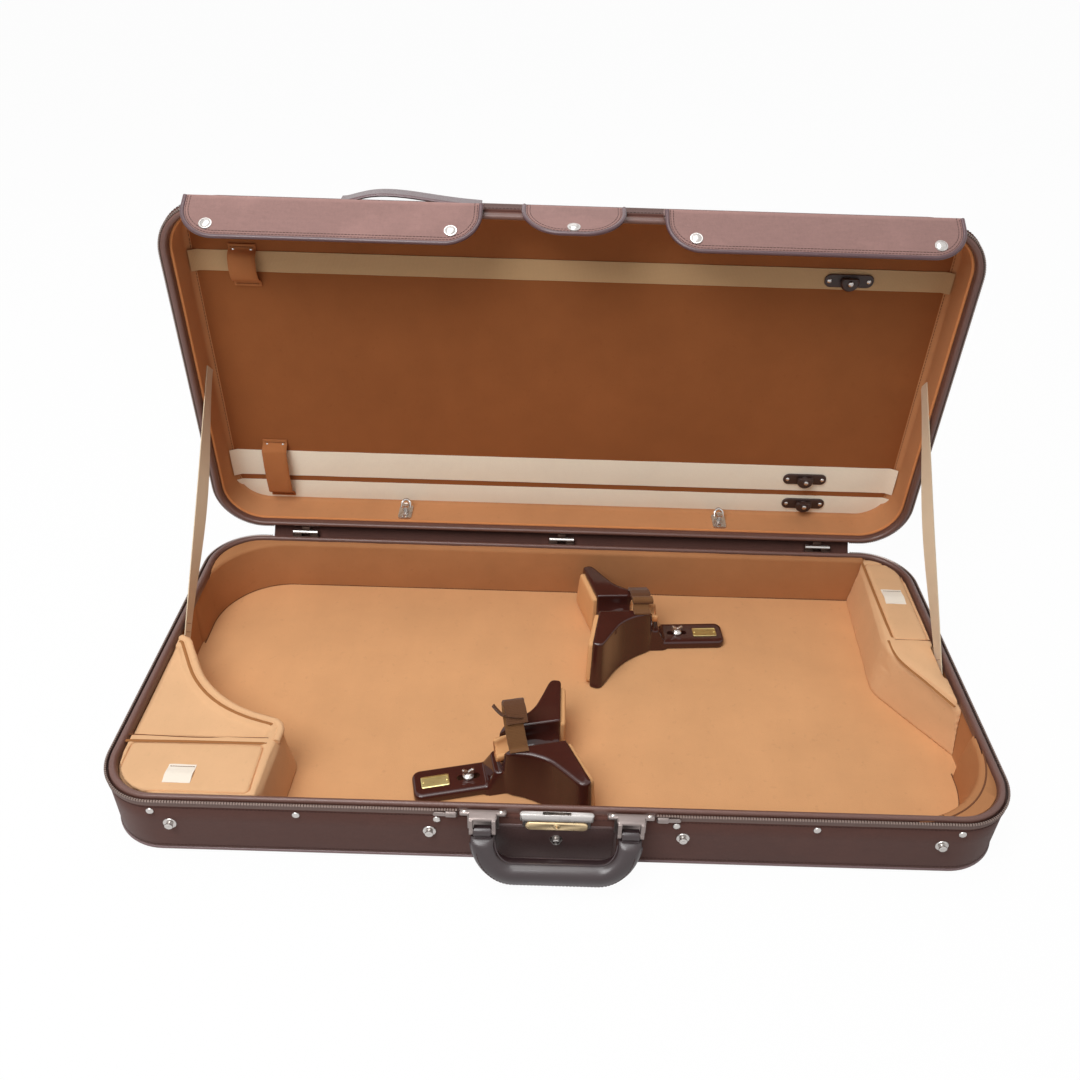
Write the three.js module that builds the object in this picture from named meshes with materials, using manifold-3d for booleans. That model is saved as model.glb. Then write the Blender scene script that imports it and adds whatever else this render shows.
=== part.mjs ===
import * as THREE from "three";
import { mergeVertices } from "three/addons/utils/BufferGeometryUtils.js";
import Module from "manifold-3d";

// Frame: millimetres, X along the case, -Y at the handle, Z up, origin at the centre of the base's underside.

// General fits
const OVERRUN = 2;
const WELD = 0.0005;
const SEAT_GAP = 0.3;
const REST_GAP = 0.1;
const END_FLAT = 0.4;
const HALF_SHARE = 0.5;
const ARC_STEP = Math.PI / 12;
const EDGE_STEPS = 2;
const ROUND_SIDES = 14;

// Case plan, shared by base and lid
const CASE_LENGTH = 795;
const CASE_DEPTH = 379;
const CASE_CORNER = 52.5;
const WALL = 6;

// Base shell
const RIM_TOP = 69;
const BEAD_HEIGHT = 8;
const SHELL_TOP = RIM_TOP - BEAD_HEIGHT;
const BASE_FLOOR = 5;
const BOTTOM_EDGE = 6;
const INNER_EDGE = 3;

// Padded bead round both rims
const BEAD_OUT_LENGTH = 790;
const BEAD_OUT_DEPTH = 374.6;
const BEAD_OUT_CORNER = 50;
const BEAD_IN_LENGTH = 772;
const BEAD_IN_DEPTH = 361;
const BEAD_IN_CORNER = 43;
const BEAD_EDGE = 3;

// Floor and wall linings
const LINING_GAP = 0.2;
const FLOOR_LINING = 4;
const FLOOR_TOP = BASE_FLOOR + FLOOR_LINING;
const WALL_LINING = 2;
const PAD_TOP = 66;
const PAD_EDGE = 4;
const PAD_LEAN = 3;
const REAR_PAD_FACE = 172;
const LEFT_PAD_FACE = -386;
const LEFT_PAD_START = 65;
const LEFT_PAD_RADIUS = 75;
const RIGHT_PAD_FACE = 381;
const RIGHT_PAD_START = -84;
const RIGHT_PAD_RADIUS = 86;

// Pocket blocks and their lids
const BLOCK_SPREAD = 7;
const BLOCK_EDGE = 3;
const BLOCK_CROWN = 0.6;
const BLOCK_CROWN_INSET = 5;
const LEFT_BLOCK_RIGHT = -257;
const LEFT_BLOCK_TIP = [-253, -96];
const LEFT_BLOCK_TIP_RADIUS = 14;
const LEFT_BLOCK_BEND = [-329, -75];
const LEFT_BLOCK_BEND_RADIUS = 135;
const LEFT_BLOCK_SHOULDER = [-377, 14];
const LEFT_BLOCK_SHOULDER_RADIUS = 13;
const PANEL_BORDER = 10;
const PANEL_DEPTH = 4;
const PANEL_FRONT = -116;
const GROOVE_Y = -120.5;
const GROOVE_WIDTH = 2;
const GROOVE_DEPTH = 2.5;
const RIGHT_BLOCK_BACK_X = 346;
const RIGHT_BLOCK_BEND = [336.5, 24];
const RIGHT_BLOCK_BEND_RADIUS = 26;
const RIGHT_BLOCK_END_Y = -64;
const POCKET_LID_THICKNESS = 4;
const POCKET_LID_GAP = 0.4;
const POCKET_LID_CORNER = 4;
const POCKET_LID_CROWN_INSET = 3;
const POCKET_LEDGE = 4;
const POCKET_FLOOR = 17;
const POCKET_WELL_CORNER = 6;
const POCKET_WELL_EDGE = 4;
const LEFT_LID_SPAN_X = [-382, -264];
const LEFT_LID_SPAN_Y = [-178, -125];
const RIGHT_LID_SPAN_X = [348, 383.5];
const RIGHT_LID_SPAN_Y = [43, 170];
const TAPE_SLOT_X = 382.8;
const TAPE_SLOT_SPAN_Y = [-13, 34];
const TAPE_SLOT_FLOOR = 44;

// Neck cradles, in their own frame: X toward the scroll, Y across, Z up from the floor lining
const CRADLE_TALL = 54;
const CRADLE_EDGE = 4;
const CRADLE_FLARE_SHARE = 0.6;
const CRADLE_FACE_ANGLE = THREE.MathUtils.degToRad(13);
const CRADLE_FLOOR_HALF = [[0, 0], [-16.8, 73], [-10, 76], [-3, 74], [12, 53], [24, 40], [39, 29], [52, 22], [60, 14], [62, 0]];
const CRADLE_TOP_HALF = [[0, 0], [-14.5, 63], [-9, 66], [-3, 64], [9, 46], [19, 33], [33, 24], [47, 19.5], [55, 13], [57, 0]];
const CRADLE_LEVEL_SHARES = [0, 0.12, 0.3, 0.55, 0.8, 0.92];
const TROUGH_HALF = 12;
const TROUGH_LOW_END = 42;
const TROUGH_HIGH_END = 48;
const TROUGH_LENGTH = 57;
const FOOT_HALF = 16.5;
const FOOT_START = 30;
const FOOT_END = 139;
const FOOT_CORNER = 8;
const FOOT_HEIGHT = 9;
const FOOT_EDGE = 2.5;
const CRADLE_LIFT = 0.2;
const SCREW_U = 87;
const CRADLE_TRAVEL = 8;
const SCREW_RADIUS = 2.5;
const SCREW_CLEARANCE = 0.5;
const SCREW_FLANGE_RADIUS = 5.5;
const SCREW_FLANGE = 2;
const WING_SPAN = 17;
const WING_HEIGHT = 11;
const WING_THICKNESS = 2.6;
const WING_WAIST = 5;
const WING_NECK = 3;
const WING_TIP = 1.4;
const PAD_THICKNESS = 4.2;
const PAD_ROUND = 1.5;
const PAD_LOW = 1;
const PAD_HIGH = 49;
const PAD_REACH_LOW = 71;
const PAD_REACH_HIGH = 61;
const PAD_CORNER = 5;
const CHANNEL_LINING = 1.7;
const STRAP_SPAN_U = [34, 51];
const STRAP_THICKNESS = 1.6;
const STRAP_LIFT = 0.4;
const CLOSED_STRAP_LINE = [[-21, 0], [-14, 0.5], [-9, 5], [-3, 7.5], [4, 7], [10, 4], [14, 0.5], [21, 0]];
const OPEN_STRAP_LINE = [[20, 0], [13, 1.5], [7, 8], [1, 18], [-6, 25], [-14, 27], [-20, 23], [-13, 20], [-3, 19], [7, 27], [15, 33]];
const REAR_CRADLE_AT = [43.5, 90];
const REAR_CRADLE_TURN = THREE.MathUtils.degToRad(4);
const FRONT_CRADLE_AT = [2, -94];
const FRONT_CRADLE_TURN = THREE.MathUtils.degToRad(193);

// Zip on the base, and its sliders
const ZIP_PROUD = 2;
const ZIP_INSET = 2.2;
const ZIP_HEIGHT = 6;
const ZIP_FRONT_X = 84;
const ZIP_BACK_X = 335;
const SLIDER_X = 89.5;
const SLIDER_LENGTH = 11;
const SLIDER_HEIGHT = 6.5;
const SLIDER_THICKNESS = 2.2;
const SLIDER_PULL_LENGTH = 15;
const SLIDER_PULL_HEIGHT = 4;
const SLIDER_PULL_THICKNESS = 1.2;

// Snap studs on the base's front
const STUD_RADIUS = 6;
const STUD_FLANGE = 1.2;
const STUD_POST_RADIUS = 3.6;
const STUD_REACH = 5;
const STUD_WAIST_RADIUS = 2.8;
const STUD_Z = 38;
const MIDDLE_STUD_Z = 32;
const OUTER_STUD_X = 332;
const INNER_STUD_X = 109;

// Handle and its mounts
const HANDLE_X = 62.5;
const MOUNT_LENGTH = 40;
const MOUNT_PLATE = 3;
const MOUNT_TOP = 68.6;
const MOUNT_REACH = 10.5;
const MOUNT_WING_REACH = 5;
const MOUNT_CORNER = 2;
const MOUNT_BACK_PLATE = 1.2;
const MOUNT_BACK_LOW = 44;
const PIN_RADIUS = 2.2;
const PIN_OUT = 9.8;
const PIN_Z = 52.5;
const CHEEK_THICKNESS = 3.2;
const CHEEK_GAP = 16;
const CHEEK_DEPTH = 5;
const EYE_WIDTH = 15.2;
const EYE_RADIUS = 4.9;
const EYE_CLEARANCE = 0.35;
const GRIP_OUT = 26.5;
const GRIP_Z = 17;
const GRIP_HALF_HEIGHT = 12;
const GRIP_HALF_THICKNESS = 11.5;
const STEM_HALF_WIDTH = 10;
const STEM_HALF_THICKNESS = 4.9;
const STEM_START = 6;
const STEM_BEND = 27;
const BEND_STATIONS = 5;

// Lock
const LOCK_HALF = 31.5;
const LOCK_TOP = 69;
const LOCK_LOW = 60.5;
const LOCK_REACH = 5.6;
const LOCK_CORNER = 2.6;
const LOCK_SLOT_HALF = 12;
const LOCK_SLOT_SPAN = [1.4, 4.6];
const LOCK_BACK_LOW = 48;
const LOCK_BACK_PLATE = 1.2;
const LEVER_HALF = 26.5;
const LEVER_TOP = 60;
const LEVER_LOW = 50.5;
const LEVER_THICKNESS = 2;
const LEVER_BACK = 4.4;
const LEVER_EDGE = 0.8;
const LEVER_CORNER = 4;
const BARREL_RADIUS = 3;
const BARREL_Z = 55.8;
const BARREL_LENGTH = 2.2;
const KEY_SLOT_WIDTH = 1.1;
const KEY_SLOT_LENGTH = 3.6;
const KEY_SLOT_DEPTH = 1.6;
const STRIKE_HALF = 10;
const STRIKE_BASE_HALF = 16;
const STRIKE_SPAN = [1.9, 4.1];
const STRIKE_BASE_REACH = 4.8;
const STRIKE_LOW = 63.5;
const STRIKE_BASE = 1;

// Hinges
const HINGE_OUT = 4.9;
const HINGE_Z = 69.5;
const HINGE_X = 298;
const HINGE_WIDTH = 29;
const BARREL_OUTER = 2.2;
const HINGE_PIN = 1.1;
const HINGE_PIN_CLEARANCE = 0.25;
const HINGE_LEAF = 1.2;
const HINGE_LEAF_LENGTH = 14;
const HINGE_LEAF_GAP = 3.5;
const HINGE_MIDDLE_HALF = 4.6;
const HINGE_KNUCKLE_GAP = 0.3;
const HINGE_WEB = 1.6;
const OPEN_ANGLE = 88;

// Lid shell, modelled closed
const LID_LOW = 70;
const LID_SHELL_LOW = LID_LOW + BEAD_HEIGHT;
const LID_TOP = 128;
const LID_THICKNESS = 5;
const LID_EDGE = 15;
const LID_INNER_EDGE = 9;
const LID_EDGE_STEPS = 4;
const LID_DRAFT = 1;
const LID_PANEL = 116;
const LID_PANEL_EDGE = 6;
const LID_VOID_LENGTH = 772;
const LID_VOID_DEPTH = 362;
const LID_VOID_CORNER = 42;

// Ribbons, loops and spinners in the lid, measured from the hinge axis
const RIBBON_THICKNESS = 1.2;
const RIBBON_HALF = 385;
const RIBBON_SPANS = { lower: [17, 41], middle: [48, 82], upper: [299, 321] };
const LOOP_WIDTH = 27;
const LOOP_THICKNESS = 1.6;
const LOOP_STAND = 9;
const LOOP_FOOT = 6;
const UPPER_LOOP_X = -330;
const UPPER_LOOP_SPAN = [284, 328];
const LOWER_LOOP_X = -331;
const LOWER_LOOP_SPAN = [20, 97];
const SPINNER_PLACES = { lower: [284, 30.5], middle: [280, 65], upper: [281, 309] };
const SPINNER_LENGTH = 50;
const SPINNER_WIDTH = 14;
const SPINNER_PLATE = 2;
const SPINNER_EDGE = 0.7;
const SPINNER_HUB = 4.5;
const SPINNER_HUB_HEIGHT = 2;
const ROTOR_RADIUS = 9.4;
const ROTOR_HEIGHT = 4;
const ROTOR_TRIM = 4.6;
const ROTOR_EDGE = 1.6;
const ROTOR_CAP_RADIUS = 3;
const ROTOR_CAP = 1.2;

// Hooks on the lid's rear wall, and the strap on its front wall
const HOOK_X = 184;
const HOOK_WIDTH = 14;
const HOOK_SPAN = [82, 108];
const HOOK_PLATE = 1.2;
const HOOK_HOLE = 1.6;
const HOOK_HOLE_REACH = 9;
const HOOK_POST_RADIUS = 2.2;
const HOOK_POST_REACH = 5;
const HOOK_HEAD_RADIUS = 3.6;
const HOOK_HEAD = 1.6;
const HOOK_CORNER = 3;
const GRAB_SPAN_X = [-222, -88];
const GRAB_WIDTH = 15;
const GRAB_Z = 102;
const GRAB_RISE = 9;
const GRAB_THICKNESS = 2.6;
const GRAB_FOOT = 14;

// Flaps on the lid's front, and the ledges that carry them
const LEDGE_LOW = 72;
const LEDGE_HIGH = 86;
const LEDGE_REACH = 6.8;
const LEDGE_LIP = 2.4;
const LEDGE_FLAT = 5.2;
const LEDGE_SINK = 1;
const FLAP_PIVOT_DROP = 0.3;
const FLAP_START = 0.8;
const FLAP_THICKNESS = 2;
const FLAP_ROLL = 1.3;
const FLAP_ROLL_HALF = 2.1;
const SIDE_FLAP_SPAN_X = [84, 361];
const SIDE_FLAP_LENGTH = 48;
const SIDE_FLAP_END_RADIUS = 34;
const SIDE_FLAP_DROOP = THREE.MathUtils.degToRad(30);
const MIDDLE_FLAP_HALF = 48;
const MIDDLE_FLAP_LENGTH = 49;
const MIDDLE_FLAP_RADIUS = 38;
const MIDDLE_FLAP_DROOP = THREE.MathUtils.degToRad(10);
const CAP_RADIUS = 6;
const CAP_HEIGHT = 1.5;
const SIDE_CAP_S = 33;
const MIDDLE_CAP_S = 38;
const OUTER_CAP_X = 335;
const INNER_CAP_X = 112;

// Stay tapes
const TAPE_WIDTH = 14;
const TAPE_THICKNESS = 1;
const TAPE_X = 385.4;
const LEFT_TAPE = { foot: [26, 50], head: [219, 252] };
const RIGHT_TAPE = { foot: [0.5, 52], head: [221, 250] };

const wasm = await Module();
wasm.setup();

// Closed solid from a geometry, faces out.
function solid(geometry) {
  const bare = geometry.index ? geometry.toNonIndexed() : geometry.clone();
  bare.deleteAttribute("normal");
  bare.deleteAttribute("uv");
  const merged = mergeVertices(bare, WELD);
  const vertProperties = merged.attributes.position.array;
  const triVerts = new Uint32Array(merged.index.array);
  const made = new wasm.Manifold(new wasm.Mesh({ numProp: 3, vertProperties, triVerts }));
  if (made.volume() > 0) return made;
  triVerts.reverse();
  return new wasm.Manifold(new wasm.Mesh({ numProp: 3, vertProperties, triVerts }));
}

// Solid between rings of equally many points, closed at both ends by the given faces.
function skin(rings, firstFaces, lastFaces) {
  const count = rings[0].length;
  const positions = rings.flat().flatMap((point) => [point.x, point.y, point.z]);
  const index = [];
  for (let ring = 0; ring + 1 < rings.length; ring += 1) {
    for (let side = 0; side < count; side += 1) {
      const next = (side + 1) % count;
      const low = ring * count;
      const high = low + count;
      index.push(low + side, low + next, high + next);
      index.push(low + side, high + next, high + side);
    }
  }
  const last = (rings.length - 1) * count;
  firstFaces.forEach(([a, b, c]) => index.push(a, c, b));
  lastFaces.forEach(([a, b, c]) => index.push(last + a, last + b, last + c));
  const geometry = new THREE.BufferGeometry();
  geometry.setAttribute("position", new THREE.Float32BufferAttribute(positions, 3));
  geometry.setIndex(index);
  return geometry;
}

// Faces of a convex end with this many points.
function fanFaces(count) {
  const faces = [];
  for (let side = 1; side + 1 < count; side += 1) faces.push([0, side, side + 1]);
  return faces;
}

// Outline through corners given as [x, y, radius], counterclockwise.
function outline(corners) {
  const points = [];
  corners.forEach(([x, y, radius = 0], index) => {
    const here = new THREE.Vector2(x, y);
    if (!radius) {
      points.push(here);
      return;
    }
    const before = corners[(index + corners.length - 1) % corners.length];
    const after = corners[(index + 1) % corners.length];
    const toBefore = new THREE.Vector2(before[0], before[1]).sub(here).normalize();
    const toAfter = new THREE.Vector2(after[0], after[1]).sub(here).normalize();
    const half = Math.acos(THREE.MathUtils.clamp(toBefore.dot(toAfter), -1, 1)) / 2;
    const reach = radius / Math.tan(half);
    const bisector = toBefore.clone().add(toAfter).normalize();
    const centre = here.clone().addScaledVector(bisector, radius / Math.sin(half));
    const start = here.clone().addScaledVector(toBefore, reach).sub(centre);
    const end = here.clone().addScaledVector(toAfter, reach).sub(centre);
    const turn = Math.atan2(start.x * end.y - start.y * end.x, start.dot(end));
    const steps = Math.max(2, Math.ceil(Math.abs(turn) / ARC_STEP));
    for (let step = 0; step <= steps; step += 1) {
      points.push(start.clone().rotateAround(new THREE.Vector2(), (turn * step) / steps).add(centre));
    }
  });
  return points;
}

// Rounded rectangle centred on the origin.
function centred(length, depth, radius) {
  const x = length * HALF_SHARE;
  const y = depth * HALF_SHARE;
  return outline([[-x, -y, radius], [x, -y, radius], [x, y, radius], [-x, y, radius]]);
}

// Rounded rectangle over two spans.
function spanned(spanX, spanY, radius) {
  const [left, right] = spanX;
  const [front, back] = spanY;
  return outline([[left, front, radius], [right, front, radius], [right, back, radius], [left, back, radius]]);
}

// The case's own plan, drawn in by an inset.
function plan(inset) {
  return centred(CASE_LENGTH - 2 * inset, CASE_DEPTH - 2 * inset, CASE_CORNER - inset);
}

// Outline moved inward along its mitres.
function drawnIn(points, inset) {
  if (!inset) return points;
  return points.map((point, index) => {
    const before = points[(index + points.length - 1) % points.length];
    const after = points[(index + 1) % points.length];
    const first = point.clone().sub(before).normalize();
    const second = after.clone().sub(point).normalize();
    const normals = new THREE.Vector2(-first.y - second.y, first.x + second.x);
    return point.clone().addScaledVector(normals, inset / (1 + first.dot(second)));
  });
}

// The outline itself, counterclockwise.
function counterclockwise(points) {
  return THREE.ShapeUtils.isClockWise(points) ? [...points].reverse() : points;
}

// Solid between two places of one flat outline, given by the function that places its points.
function between(points, ends, place) {
  const ring = counterclockwise(points);
  const faces = THREE.ShapeUtils.triangulateShape(ring, []);
  return solid(skin(ends.map((end) => ring.map((point) => place(point, end))), faces, faces));
}

// Solid that follows an outline upward through levels given as [z, inset].
function loft(points, levels) {
  const even = counterclockwise(points);
  const rings = levels.map(([, inset]) => drawnIn(even, inset));
  const heights = levels.map(([z]) => z);
  return loftRings(rings, heights);
}

// Solid through flat rings at rising heights.
function loftRings(rings, heights) {
  const placed = rings.map((ring, level) => ring.map((point) => new THREE.Vector3(point.x, point.y, heights[level])));
  const firstFaces = THREE.ShapeUtils.triangulateShape(rings[0], []);
  const lastFaces = THREE.ShapeUtils.triangulateShape(rings[rings.length - 1], []);
  return skin(placed, firstFaces, lastFaces);
}

// Levels of a rounded top edge that ends at the given height.
function edgeUp(top, radius, steps = EDGE_STEPS) {
  return Array.from({ length: steps + 1 }, (unused, step) => {
    const angle = ((Math.PI / 2) * step) / steps;
    return [top - radius + radius * Math.sin(angle), radius * (1 - Math.cos(angle))];
  });
}

// Levels of a rounded bottom edge that starts at the given height.
function edgeDown(bottom, radius, steps = EDGE_STEPS) {
  return edgeUp(-bottom, radius, steps).reverse().map(([z, inset]) => [-z, inset]);
}

// The same levels, spreading outward.
function flared(levels) {
  return levels.map(([z, inset]) => [z, -inset]);
}

// Box over three spans.
function box(spanX, spanY, spanZ) {
  const spans = [spanX, spanY, spanZ];
  const [width, depth, height] = spans.map(([low, high]) => high - low);
  const [x, y, z] = spans.map(([low, high]) => (low + high) * HALF_SHARE);
  return solid(new THREE.BoxGeometry(width, depth, height).translate(x, y, z));
}

// Round bar between two points.
function bar(from, to, radius, sides = ROUND_SIDES) {
  const start = new THREE.Vector3(...from);
  const along = new THREE.Vector3(...to).sub(start);
  const geometry = new THREE.CylinderGeometry(radius, radius, along.length(), sides);
  geometry.translate(0, along.length() * HALF_SHARE, 0);
  const turn = new THREE.Quaternion().setFromUnitVectors(new THREE.Vector3(0, 1, 0), along.normalize());
  return solid(geometry.applyQuaternion(turn).translate(start.x, start.y, start.z));
}

// Turned solid: profile of [radius, height] pairs, its axis along the given direction from a point.
function turned(profile, at, direction, sides = ROUND_SIDES) {
  const geometry = new THREE.LatheGeometry(profile.map(([radius, height]) => new THREE.Vector2(radius, height)), sides);
  const turn = new THREE.Quaternion().setFromUnitVectors(new THREE.Vector3(0, 1, 0), new THREE.Vector3(...direction));
  return solid(geometry.applyQuaternion(turn).translate(...at));
}

// Band of even thickness along a line of flat points, as a closed outline.
function bandOutline(line, thickness) {
  const half = thickness * HALF_SHARE;
  const points = line.map(([x, y]) => new THREE.Vector2(x, y));
  const curve = new THREE.SplineCurve(points);
  const samples = curve.getPoints(points.length * 2);
  const sides = samples.map((point, index) => {
    const before = samples[Math.max(0, index - 1)];
    const after = samples[Math.min(samples.length - 1, index + 1)];
    const along = after.clone().sub(before).normalize();
    return [point, new THREE.Vector2(-along.y, along.x)];
  });
  const left = sides.map(([point, normal]) => point.clone().addScaledVector(normal, half));
  const right = sides.map(([point, normal]) => point.clone().addScaledVector(normal, -half));
  return right.concat(left.reverse());
}

const caseGroup = new THREE.Group();
caseGroup.name = "double_violin_case";
const hingeY = CASE_DEPTH * HALF_SHARE + HINGE_OUT;
const frontY = -CASE_DEPTH * HALF_SHARE;
const lidGroup = new THREE.Group();
lidGroup.position.set(0, hingeY, HINGE_Z);
lidGroup.rotation.x = -THREE.MathUtils.degToRad(OPEN_ANGLE);
caseGroup.add(lidGroup);

// Adds one named piece to a group; pieces of the lid are modelled closed.
function piece(name, made, [color, roughness, metalness], group = caseGroup) {
  const made3 = made.getMesh();
  const geometry = new THREE.BufferGeometry();
  geometry.setAttribute("position", new THREE.BufferAttribute(new Float32Array(made3.vertProperties), 3));
  geometry.setIndex(new THREE.BufferAttribute(new Uint32Array(made3.triVerts), 1));
  if (group === lidGroup) geometry.translate(0, -hingeY, -HINGE_Z);
  const mesh = new THREE.Mesh(geometry, new THREE.MeshStandardMaterial({ color, roughness, metalness }));
  mesh.name = name;
  group.add(mesh);
  return mesh;
}

// Looks: colour, roughness, metalness
const CANVAS = [0x6a4a40, 0.85, 0];
const VINYL = [0x57382f, 0.5, 0];
const VELVET = [0xc08552, 0.95, 0];
const VELVET_LIGHT = [0xd49c66, 0.95, 0];
const WEBBING = [0xe6d3bb, 0.9, 0];
const MOULDED = [0x3c211a, 0.3, 0];
const STRAPPING = [0x7c5a42, 0.95, 0];
const METAL = [0xbab5b0, 0.28, 1];
const BRASS = [0xc9a86a, 0.3, 1];
const ZIPPER = [0x6d5a54, 0.7, 0];
const LEATHERY = [0x46342f, 0.4, 0];

// Base shell, rim bead and linings
const shellOuter = solid(loft(plan(0), [...edgeDown(0, BOTTOM_EDGE), [SHELL_TOP, 0]]));
const shellHollow = solid(loft(plan(WALL), [...edgeDown(BASE_FLOOR, INNER_EDGE), [SHELL_TOP + OVERRUN, 0]]));
piece("base_shell", shellOuter.subtract(shellHollow), CANVAS);

const beadOut = centred(BEAD_OUT_LENGTH, BEAD_OUT_DEPTH, BEAD_OUT_CORNER);
const beadIn = centred(BEAD_IN_LENGTH, BEAD_IN_DEPTH, BEAD_IN_CORNER);
const beadBody = solid(loft(beadOut, [[SHELL_TOP, 0], ...edgeUp(RIM_TOP, BEAD_EDGE)]));
const beadFlare = flared(edgeUp(RIM_TOP, BEAD_EDGE));
const beadHollow = solid(loft(beadIn, [[SHELL_TOP - OVERRUN, 0], ...beadFlare, [RIM_TOP + OVERRUN, -BEAD_EDGE]]));
piece("base_rim", beadBody.subtract(beadHollow), VINYL);

const liningPlan = WALL + LINING_GAP;
function screwPlace(at, turn) {
  return new THREE.Vector2(SCREW_U, 0).rotateAround(new THREE.Vector2(), turn).add(new THREE.Vector2(...at));
}

const screwPlaces = {
  rear: screwPlace(REAR_CRADLE_AT, REAR_CRADLE_TURN),
  front: screwPlace(FRONT_CRADLE_AT, FRONT_CRADLE_TURN),
};
const floorLevels = [[BASE_FLOOR, INNER_EDGE], [BASE_FLOOR + INNER_EDGE, 0], [FLOOR_TOP, 0]];
let floorLining = solid(loft(plan(liningPlan), floorLevels));
for (const place of Object.values(screwPlaces)) {
  const low = [place.x, place.y, BASE_FLOOR - OVERRUN];
  const high = [place.x, place.y, FLOOR_TOP + OVERRUN];
  floorLining = floorLining.subtract(bar(low, high, SCREW_RADIUS + SCREW_CLEARANCE));
}
piece("floor_lining", floorLining, VELVET_LIGHT);

// Room inside the base: full width below the bead, the bead's own opening above
const roomLow = solid(loft(plan(liningPlan), [[FLOOR_TOP, 0], [SHELL_TOP - SEAT_GAP, 0]]));
const roomHigh = solid(loft(beadIn, [[SHELL_TOP - SEAT_GAP - OVERRUN, SEAT_GAP], [PAD_TOP + OVERRUN, SEAT_GAP]]));
const room = roomLow.add(roomHigh);
const wallX = CASE_LENGTH * HALF_SHARE - liningPlan - WALL_LINING;
const wallY = CASE_DEPTH * HALF_SHARE - liningPlan - WALL_LINING;
const wallCorner = CASE_CORNER - liningPlan - WALL_LINING;
const padVoid = outline([
  [-wallX, -wallY, wallCorner],
  [RIGHT_PAD_FACE, -wallY, RIGHT_PAD_RADIUS],
  [RIGHT_PAD_FACE, RIGHT_PAD_START],
  [wallX, RIGHT_PAD_START],
  [wallX, REAR_PAD_FACE],
  [LEFT_PAD_FACE, REAR_PAD_FACE, LEFT_PAD_RADIUS],
  [LEFT_PAD_FACE, LEFT_PAD_START],
  [-wallX, LEFT_PAD_START],
]);
const padLevels = [
  [FLOOR_TOP - OVERRUN, 0],
  [FLOOR_TOP, 0],
  ...edgeUp(PAD_TOP, PAD_EDGE).map(([z, inset]) => [z, -PAD_LEAN - inset]),
  [PAD_TOP + OVERRUN + OVERRUN, -PAD_LEAN - PAD_EDGE],
];
const padRoom = room.intersect(box([-CASE_LENGTH, CASE_LENGTH], [-CASE_DEPTH, CASE_DEPTH], [0, PAD_TOP]));
const bareRing = solid(loft(plan(liningPlan), [[FLOOR_TOP, 0], [SHELL_TOP - SEAT_GAP, 0]]))
  .subtract(solid(loft(plan(liningPlan + WALL_LINING), [[FLOOR_TOP - OVERRUN, 0], [SHELL_TOP + OVERRUN, 0]])));
const pads = padRoom.subtract(solid(loft(padVoid, padLevels)));
const wallLining = bareRing.add(pads);
piece("wall_lining", wallLining, VELVET);

// Pocket blocks: hollow under their lids, and set in from the wall lining
const blockRoom = solid(loft(plan(liningPlan + WALL_LINING + SEAT_GAP), [[FLOOR_TOP, 0], [SHELL_TOP - SEAT_GAP, 0]]))
  .add(roomHigh);
const padGuard = solid(loft(padVoid, padLevels.map(([z, inset]) => [z, inset + SEAT_GAP])));
const blockLevels = [
  [FLOOR_TOP, -BLOCK_SPREAD],
  ...edgeUp(PAD_TOP, BLOCK_EDGE),
  [PAD_TOP + BLOCK_CROWN, BLOCK_EDGE + BLOCK_CROWN_INSET],
];

const wellPlan = plan(liningPlan + WALL_LINING + POCKET_LEDGE);
const wellRoom = solid(loft(wellPlan, [[0, 0], [RIM_TOP, 0]]));
const lidRoom = solid(loft(beadIn, [[0, SEAT_GAP + POCKET_LID_GAP], [RIM_TOP, SEAT_GAP + POCKET_LID_GAP]]));

function pocketCut(spanX, spanY) {
  const seat = spanned(spanX, spanY, POCKET_LID_CORNER);
  const seatFloor = PAD_TOP - POCKET_LID_THICKNESS - POCKET_LID_GAP;
  const seatCut = solid(loft(drawnIn(seat, -POCKET_LID_GAP), [[seatFloor, 0], [PAD_TOP + OVERRUN, 0]]));
  const wellLevels = [...edgeDown(POCKET_FLOOR, POCKET_WELL_EDGE), [PAD_TOP, 0]];
  const [wellX, wellY] = [spanX, spanY].map(([low, high]) => [low + POCKET_LEDGE, high - POCKET_LEDGE]);
  const well = solid(loft(spanned(wellX, wellY, POCKET_WELL_CORNER), wellLevels));
  return seatCut.add(well.intersect(wellRoom));
}

function pocketLid(spanX, spanY) {
  const low = PAD_TOP - POCKET_LID_THICKNESS;
  const seat = spanned(spanX, spanY, POCKET_LID_CORNER);
  const levels = [[low, 0], [PAD_TOP - 1, 0], [PAD_TOP, 1], [PAD_TOP + BLOCK_CROWN, POCKET_LID_CROWN_INSET]];
  return solid(loft(seat, levels)).intersect(lidRoom);
}

const leftPlan = outline([
  [-CASE_LENGTH * HALF_SHARE, frontY],
  [LEFT_BLOCK_RIGHT, frontY],
  [...LEFT_BLOCK_TIP, LEFT_BLOCK_TIP_RADIUS],
  [...LEFT_BLOCK_BEND, LEFT_BLOCK_BEND_RADIUS],
  [...LEFT_BLOCK_SHOULDER, LEFT_BLOCK_SHOULDER_RADIUS],
  [-CASE_LENGTH * HALF_SHARE, LEFT_BLOCK_SHOULDER[1]],
]);
const panelCut = solid(loft(drawnIn(leftPlan, PANEL_BORDER), [[PAD_TOP - PANEL_DEPTH, 2], [PAD_TOP, 0], [PAD_TOP + OVERRUN, 0]]))
  .intersect(box([-CASE_LENGTH, 0], [PANEL_FRONT, 0], [0, PAD_TOP + OVERRUN]));
const grooveCut = box([LEFT_LID_SPAN_X[0], LEFT_LID_SPAN_X[1]],
  [GROOVE_Y - GROOVE_WIDTH * HALF_SHARE, GROOVE_Y + GROOVE_WIDTH * HALF_SHARE], [PAD_TOP - GROOVE_DEPTH, PAD_TOP + OVERRUN]);
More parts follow.
